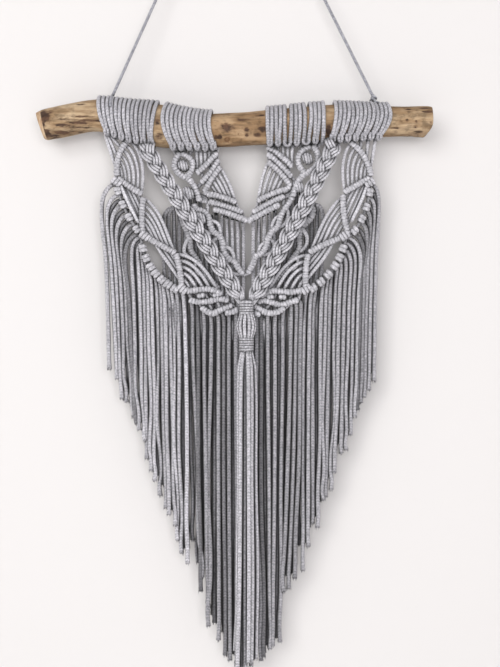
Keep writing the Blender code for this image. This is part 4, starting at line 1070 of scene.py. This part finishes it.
def fray(hank, end, radius, ahead):
    """Loose fibres at a cut end."""
    for _ in range(9):
        turn, spread = chance.uniform(0, 2 * math.pi), chance.uniform(0.2, 1.0) * radius
        side = np.array((math.cos(turn), 0.8 * math.sin(turn), 0.0))
        start = end + side * spread * 0.8 * MM - ahead * 1.5 * MM
        length = chance.uniform(1.5, 4.5)
        stop = start + (ahead * length + side * chance.uniform(0.2, 1.1)) * MM
        bend = (start + stop) / 2 + side * 0.3 * MM
        hank.lay([start, bend, stop], [0.42, 0.36, 0.12], sides=4, facing=(0.3, 1.0, 0.1))


def hang(hank, start, strand, depth, lean_out):
    """A cord that leaves its knot, turns down over a short arc and hangs to its tip."""
    root_x, root_drop, root_depth = start
    shoulder = strand.x + lean_out * (strand.x - TASSEL_X)
    gap = shoulder - root_x
    fall = 1.25 * abs(gap) + 4.0
    sway, bend = chance.gauss(0, 0.9), chance.gauss(0, 0.7)
    points = []
    for turn in np.linspace(-0.25, math.pi / 2, 8):
        share = max(0.0, turn) / (math.pi / 2)
        points.append(spot(root_x + gap * math.sin(turn), root_drop + fall * (1 - math.cos(turn)),
                           root_depth + (depth - root_depth) * share - 1.5 * math.sin(math.pi * share)))
    low = root_drop + fall
    half = max(HALF_WAY, low + 30.0)
    if half - low > 60.0:
        points.append(spot(shoulder + (strand.x - shoulder) * 0.55, low + (half - low) * 0.4, depth))
    rest = strand.tip - half
    if rest > 40.0:
        points += [
            spot(strand.x, half, depth + bend),
            spot(strand.x + (strand.tip_x - strand.x) * 0.35 + sway, half + 0.5 * rest, depth - bend),
            spot(strand.tip_x + 0.15 * (strand.x - strand.tip_x) - 0.4 * sway,
                 strand.tip - 0.15 * rest, depth + bend),
            spot(strand.tip_x + 0.5 * sway, strand.tip - 0.05 * rest, depth + 0.5 * bend),
        ]
    points.append(spot(strand.tip_x + chance.gauss(0, 0.5), strand.tip, depth))
    route = smooth(points, 5.0)
    waves = np.sin(np.arange(len(route)) * 0.9 + chance.random() * 6)
    widths = np.full(len(route), FRINGE_RADIUS) * (1 + 0.02 * waves)
    widths[-1] *= 1.18
    hank.lay(route, widths, tone=strand.tone)
    ahead = route[-1] - route[-2]
    fray(hank, route[-1], FRINGE_RADIUS, ahead / np.linalg.norm(ahead))


def make_fringe(name, rows):
    hank = Hank()
    for row in rows:
        last = len(row.strands) - 1
        for index, strand in enumerate(row.strands):
            x, drop = bowed(row.root, row.start + (row.end - row.start) * index / last)
            depth = FRINGE_DEPTH - 1.5 + chance.uniform(-0.8, 0.8)
            toned = strand._replace(tone=strand.tone * 1.2 + FRINGE_LIGHT_AND_SHADE[name][0])
            hang(hank, (x, drop, PANEL_DEPTH + 1.5), toned, depth, row.lean)
            if index == last or abs(strand.x - TASSEL_X) > SINGLE_FROM:
                continue
            after = row.strands[index + 1]
            x, drop = bowed(row.root, row.start + (row.end - row.start) * (index + 0.5) / last)
            tip_x = (strand.tip_x + after.tip_x) / 2 + chance.gauss(0, 0.8)
            tip = min(strand.tip, after.tip) - chance.uniform(2.0, 14.0)
            darker = Strand((strand.x + after.x) / 2, tip_x, tip, FRINGE_LIGHT_AND_SHADE[name][1])
            hang(hank, (x, drop, PANEL_DEPTH + 3.0), darker, depth + SECOND_ROW, row.lean)
    hank.make("cords_" + name, fringe_cotton, "fringe_" + name)


for name, rows in FRINGES.items():
    make_fringe(name, rows)


def make_back_fringe():
    hank = Hank()
    for x in np.arange(-71.0, 90.0, BACK_SPACING):
        if BACK_GAP[0] < x < BACK_GAP[1]:
            continue
        drop, tip = (float(np.interp(x, *zip(*points))) for points in (BACK_ROOTS, TIP_LINE))
        inner = BACK_INNER[0] < x < BACK_INNER[1]
        strand = Strand(x, x - 0.02 * (x - TASSEL_X), tip - 20.0 + chance.gauss(0, 5.0),
                        0.3 if inner else SHADE + chance.uniform(0.0, 1.5))
        root_x = min(max(x, BACK_ENDS[0]), BACK_ENDS[1]) + chance.uniform(-1, 1)
        start = (root_x, drop, PANEL_DEPTH + 2.0)
        hang(hank, start, strand, BACK_DEPTH + chance.uniform(-2.0, 0), BACK_LEAN)
    hank.make("cords_back", fringe_cotton, "fringe_back")


make_back_fringe()

# ---------------------------------------------------------------- tassel
# The plaits' cords are bound by a gathering wrap, bulge, are bound once more and hang as a long
# tassel in front of the fringe.
TASSEL_DEPTH = middle_depth("tassel")
Wrap = namedtuple("Wrap", "drop to_drop radius turns")
WRAPS = [Wrap(177.5, 190.5, 5.6, 5), Wrap(214, 226.5, 5.9, 5)]
BULB_CORDS = 12
BULB_RADIUS = 1.9
TASSEL_CORDS = 15
TASSEL_CORD_RADIUS = 2.2
TASSEL_TIP = 541.0


def make_tassel():
    hank = Hank()
    for wrap in WRAPS:
        pitch = (wrap.to_drop - wrap.drop) / wrap.turns
        for turn in range(wrap.turns):
            drop = wrap.drop + pitch * (turn + 0.5)
            angles = 2 * math.pi * np.arange(20) / 20
            radius = wrap.radius * (1 + chance.gauss(0, 0.012))
            tip = chance.gauss(0, 0.02)
            route = [spot(TASSEL_X + radius * math.sin(angle), drop + tip * radius * math.sin(angle),
                          TASSEL_DEPTH - 0.9 * radius * math.cos(angle)) for angle in angles]
            hank.lay(route, pitch / 2 * 1.16, facing=(0.0, 0.0, 1.0), sides=8, closed=True, tone=1.0)
        core = [spot(TASSEL_X, drop, TASSEL_DEPTH) for drop in (wrap.drop - 1.0, wrap.to_drop + 1.0)]
        hank.lay(core, wrap.radius * 0.92, sides=14)
    for index in range(BULB_CORDS):
        angle = 2 * math.pi * (index + 0.5 + chance.gauss(0, 0.08)) / BULB_CORDS
        side, front = math.sin(angle), math.cos(angle)
        route = []
        for share in np.linspace(-0.08, 1.08, 9):
            drop = WRAPS[0].to_drop + (WRAPS[1].drop - WRAPS[0].drop - 13.0) * share
            radius = 4.5 + 3.5 * math.sin(math.pi * min(max(share, 0), 1)) ** 0.8 + chance.gauss(0, 0.2)
            route.append(spot(TASSEL_X + radius * side, drop, TASSEL_DEPTH - 0.85 * radius * front))
        hank.lay(smooth(route, 2.5), BULB_RADIUS, tone=1.2)
    start = WRAPS[1].to_drop
    for index in range(TASSEL_CORDS):
        inner = index % 3 == 2
        angle = 2 * math.pi * (index + 0.5) / TASSEL_CORDS
        side, front = math.sin(angle), math.cos(angle)
        swell, at_tip = (4.0, 5.5) if inner else (8.4, 10.0)
        tip = TASSEL_TIP - 5.0 * (1 - front) + chance.gauss(0, 3.5)
        places = [(3.6, -2.0), (0.62 * swell, 5.0), (0.9 * swell, 16.0),
                  (swell, 34.0), (swell, 120.0), (at_tip, 230.0)]
        lean_x, sway = chance.gauss(0, 1.2), chance.gauss(0, 0.9)
        points = [spot(TASSEL_X + reach * side + sway * min(1.0, max(0.0, down) / 120.0), start + down,
                       TASSEL_DEPTH - 0.72 * reach * front) for reach, down in places]
        points.append(spot(TASSEL_X + at_tip * side + lean_x, tip, TASSEL_DEPTH - 0.72 * at_tip * front))
        route = smooth(points, 5.0)
        # Inner cords, deep in the bundle, are painted darker, as painted shade.
        hank.lay(route, TASSEL_CORD_RADIUS, tone=-1.0 if inner else 1.2)
        fray(hank, route[-1], TASSEL_CORD_RADIUS, np.array((0.0, 0.0, -1.0)))
    hank.make("tassel_cords", fringe_cotton, "tassel")


make_tassel()

# ---------------------------------------------------------------- room, light and camera
# A pale plastered wall close behind, a plain floor far below, and soft light from the upper left.
PIXEL = 1.0  # millimetres to a pixel of the photograph, at the hanging
PHOTO_HEIGHT = 667
VIEW_CENTRE = (14.0, 209.5)
CAMERA_DISTANCE = 1450.0
SENSOR_HEIGHT = 24.0
WALL_DEPTH = 14.0
FLOOR_DROP = 900.0


def stage_finish(name, colour, see_through):
    """Matt paint with faint trowel marks. A wall is clear from behind, so that it hides nothing."""
    finish, tree, shader = new_finish(name, {
        "Base Color": (*colour, 1.0), "Roughness": 0.9, "Specular IOR Level": 0.2})
    place = add_node(tree, "TexCoord").outputs["Object"]
    trowel = add_node(tree, "TexNoise", {"Vector": place, "Scale": 42.0, "Detail": 6.0, "Roughness": 0.6})
    roughen(tree, shader, trowel.outputs["Fac"], 0.12, 0.002)
    if see_through:
        behind = add_node(tree, "NewGeometry").outputs["Backfacing"]
        clear = add_node(tree, "BsdfTransparent")
        mixed = add_node(tree, "MixShader", {0: behind, 1: shader.outputs[0], 2: clear.outputs[0]})
        tree.links.new(mixed.outputs[0], tree.nodes["Material Output"].inputs["Surface"])
    return finish


def stage_plane(name, centre, width, height, upright, finish):
    bpy.ops.mesh.primitive_plane_add(size=1.0, location=centre)
    plane = bpy.context.object
    plane.name = name
    plane.scale = (width, height, 1.0)
    if upright:
        plane.rotation_euler = (math.radians(90), 0.0, 0.0)
    plane.data.materials.append(finish)


wall_paint = stage_finish("wall paint", (0.675, 0.662, 0.658), True)
stage_plane("wall", (0.0, WALL_DEPTH * MM, -0.45), 6.0, 4.0, True, wall_paint)
floor_paint = stage_finish("floor paint", (0.80, 0.79, 0.78), False)
stage_plane("floor", (0.0, 0.0, -(BRANCH_DROP + FLOOR_DROP) * MM), 8.0, 8.0, False, floor_paint)


def soft_light(name, place, aim, size, power, colour):
    data = bpy.data.lights.new(name, "AREA")
    data.shape = "RECTANGLE"
    data.size, data.size_y = size
    data.energy = power
    data.color = colour
    made = linked(name, data)
    made.location = place
    made.rotation_euler = (Vector(aim) - Vector(place)).to_track_quat("-Z", "Y").to_euler()


soft_light("window", (-0.75, -2.5, 0.1), (0.0, 0.0, -0.5), (1.3, 1.3), 36.0, (1.0, 0.99, 0.975))
soft_light("fill", (0.25, -2.9, -0.45), (0.0, 0.0, -0.5), (1.0, 1.0), 36.0, (0.99, 0.98, 1.0))
world = bpy.data.worlds.new("room light")
world.use_nodes = True
background = world.node_tree.nodes["Background"].inputs
background["Color"].default_value = (1.0, 0.97, 0.965, 1.0)
background["Strength"].default_value = 0.44
bpy.context.scene.world = world
bpy.context.scene.view_settings.view_transform = "Standard"

camera_data = bpy.data.cameras.new("camera")
camera_data.sensor_fit = "VERTICAL"
camera_data.sensor_height = SENSOR_HEIGHT
plane_distance = CAMERA_DISTANCE + PANEL_DEPTH
camera_data.lens = SENSOR_HEIGHT * plane_distance / (PHOTO_HEIGHT * PIXEL)
camera = linked("camera", camera_data)
camera.location = spot(VIEW_CENTRE[0], VIEW_CENTRE[1], -CAMERA_DISTANCE)
camera.rotation_euler = (math.radians(90), 0.0, 0.0)
bpy.context.scene.camera = camera
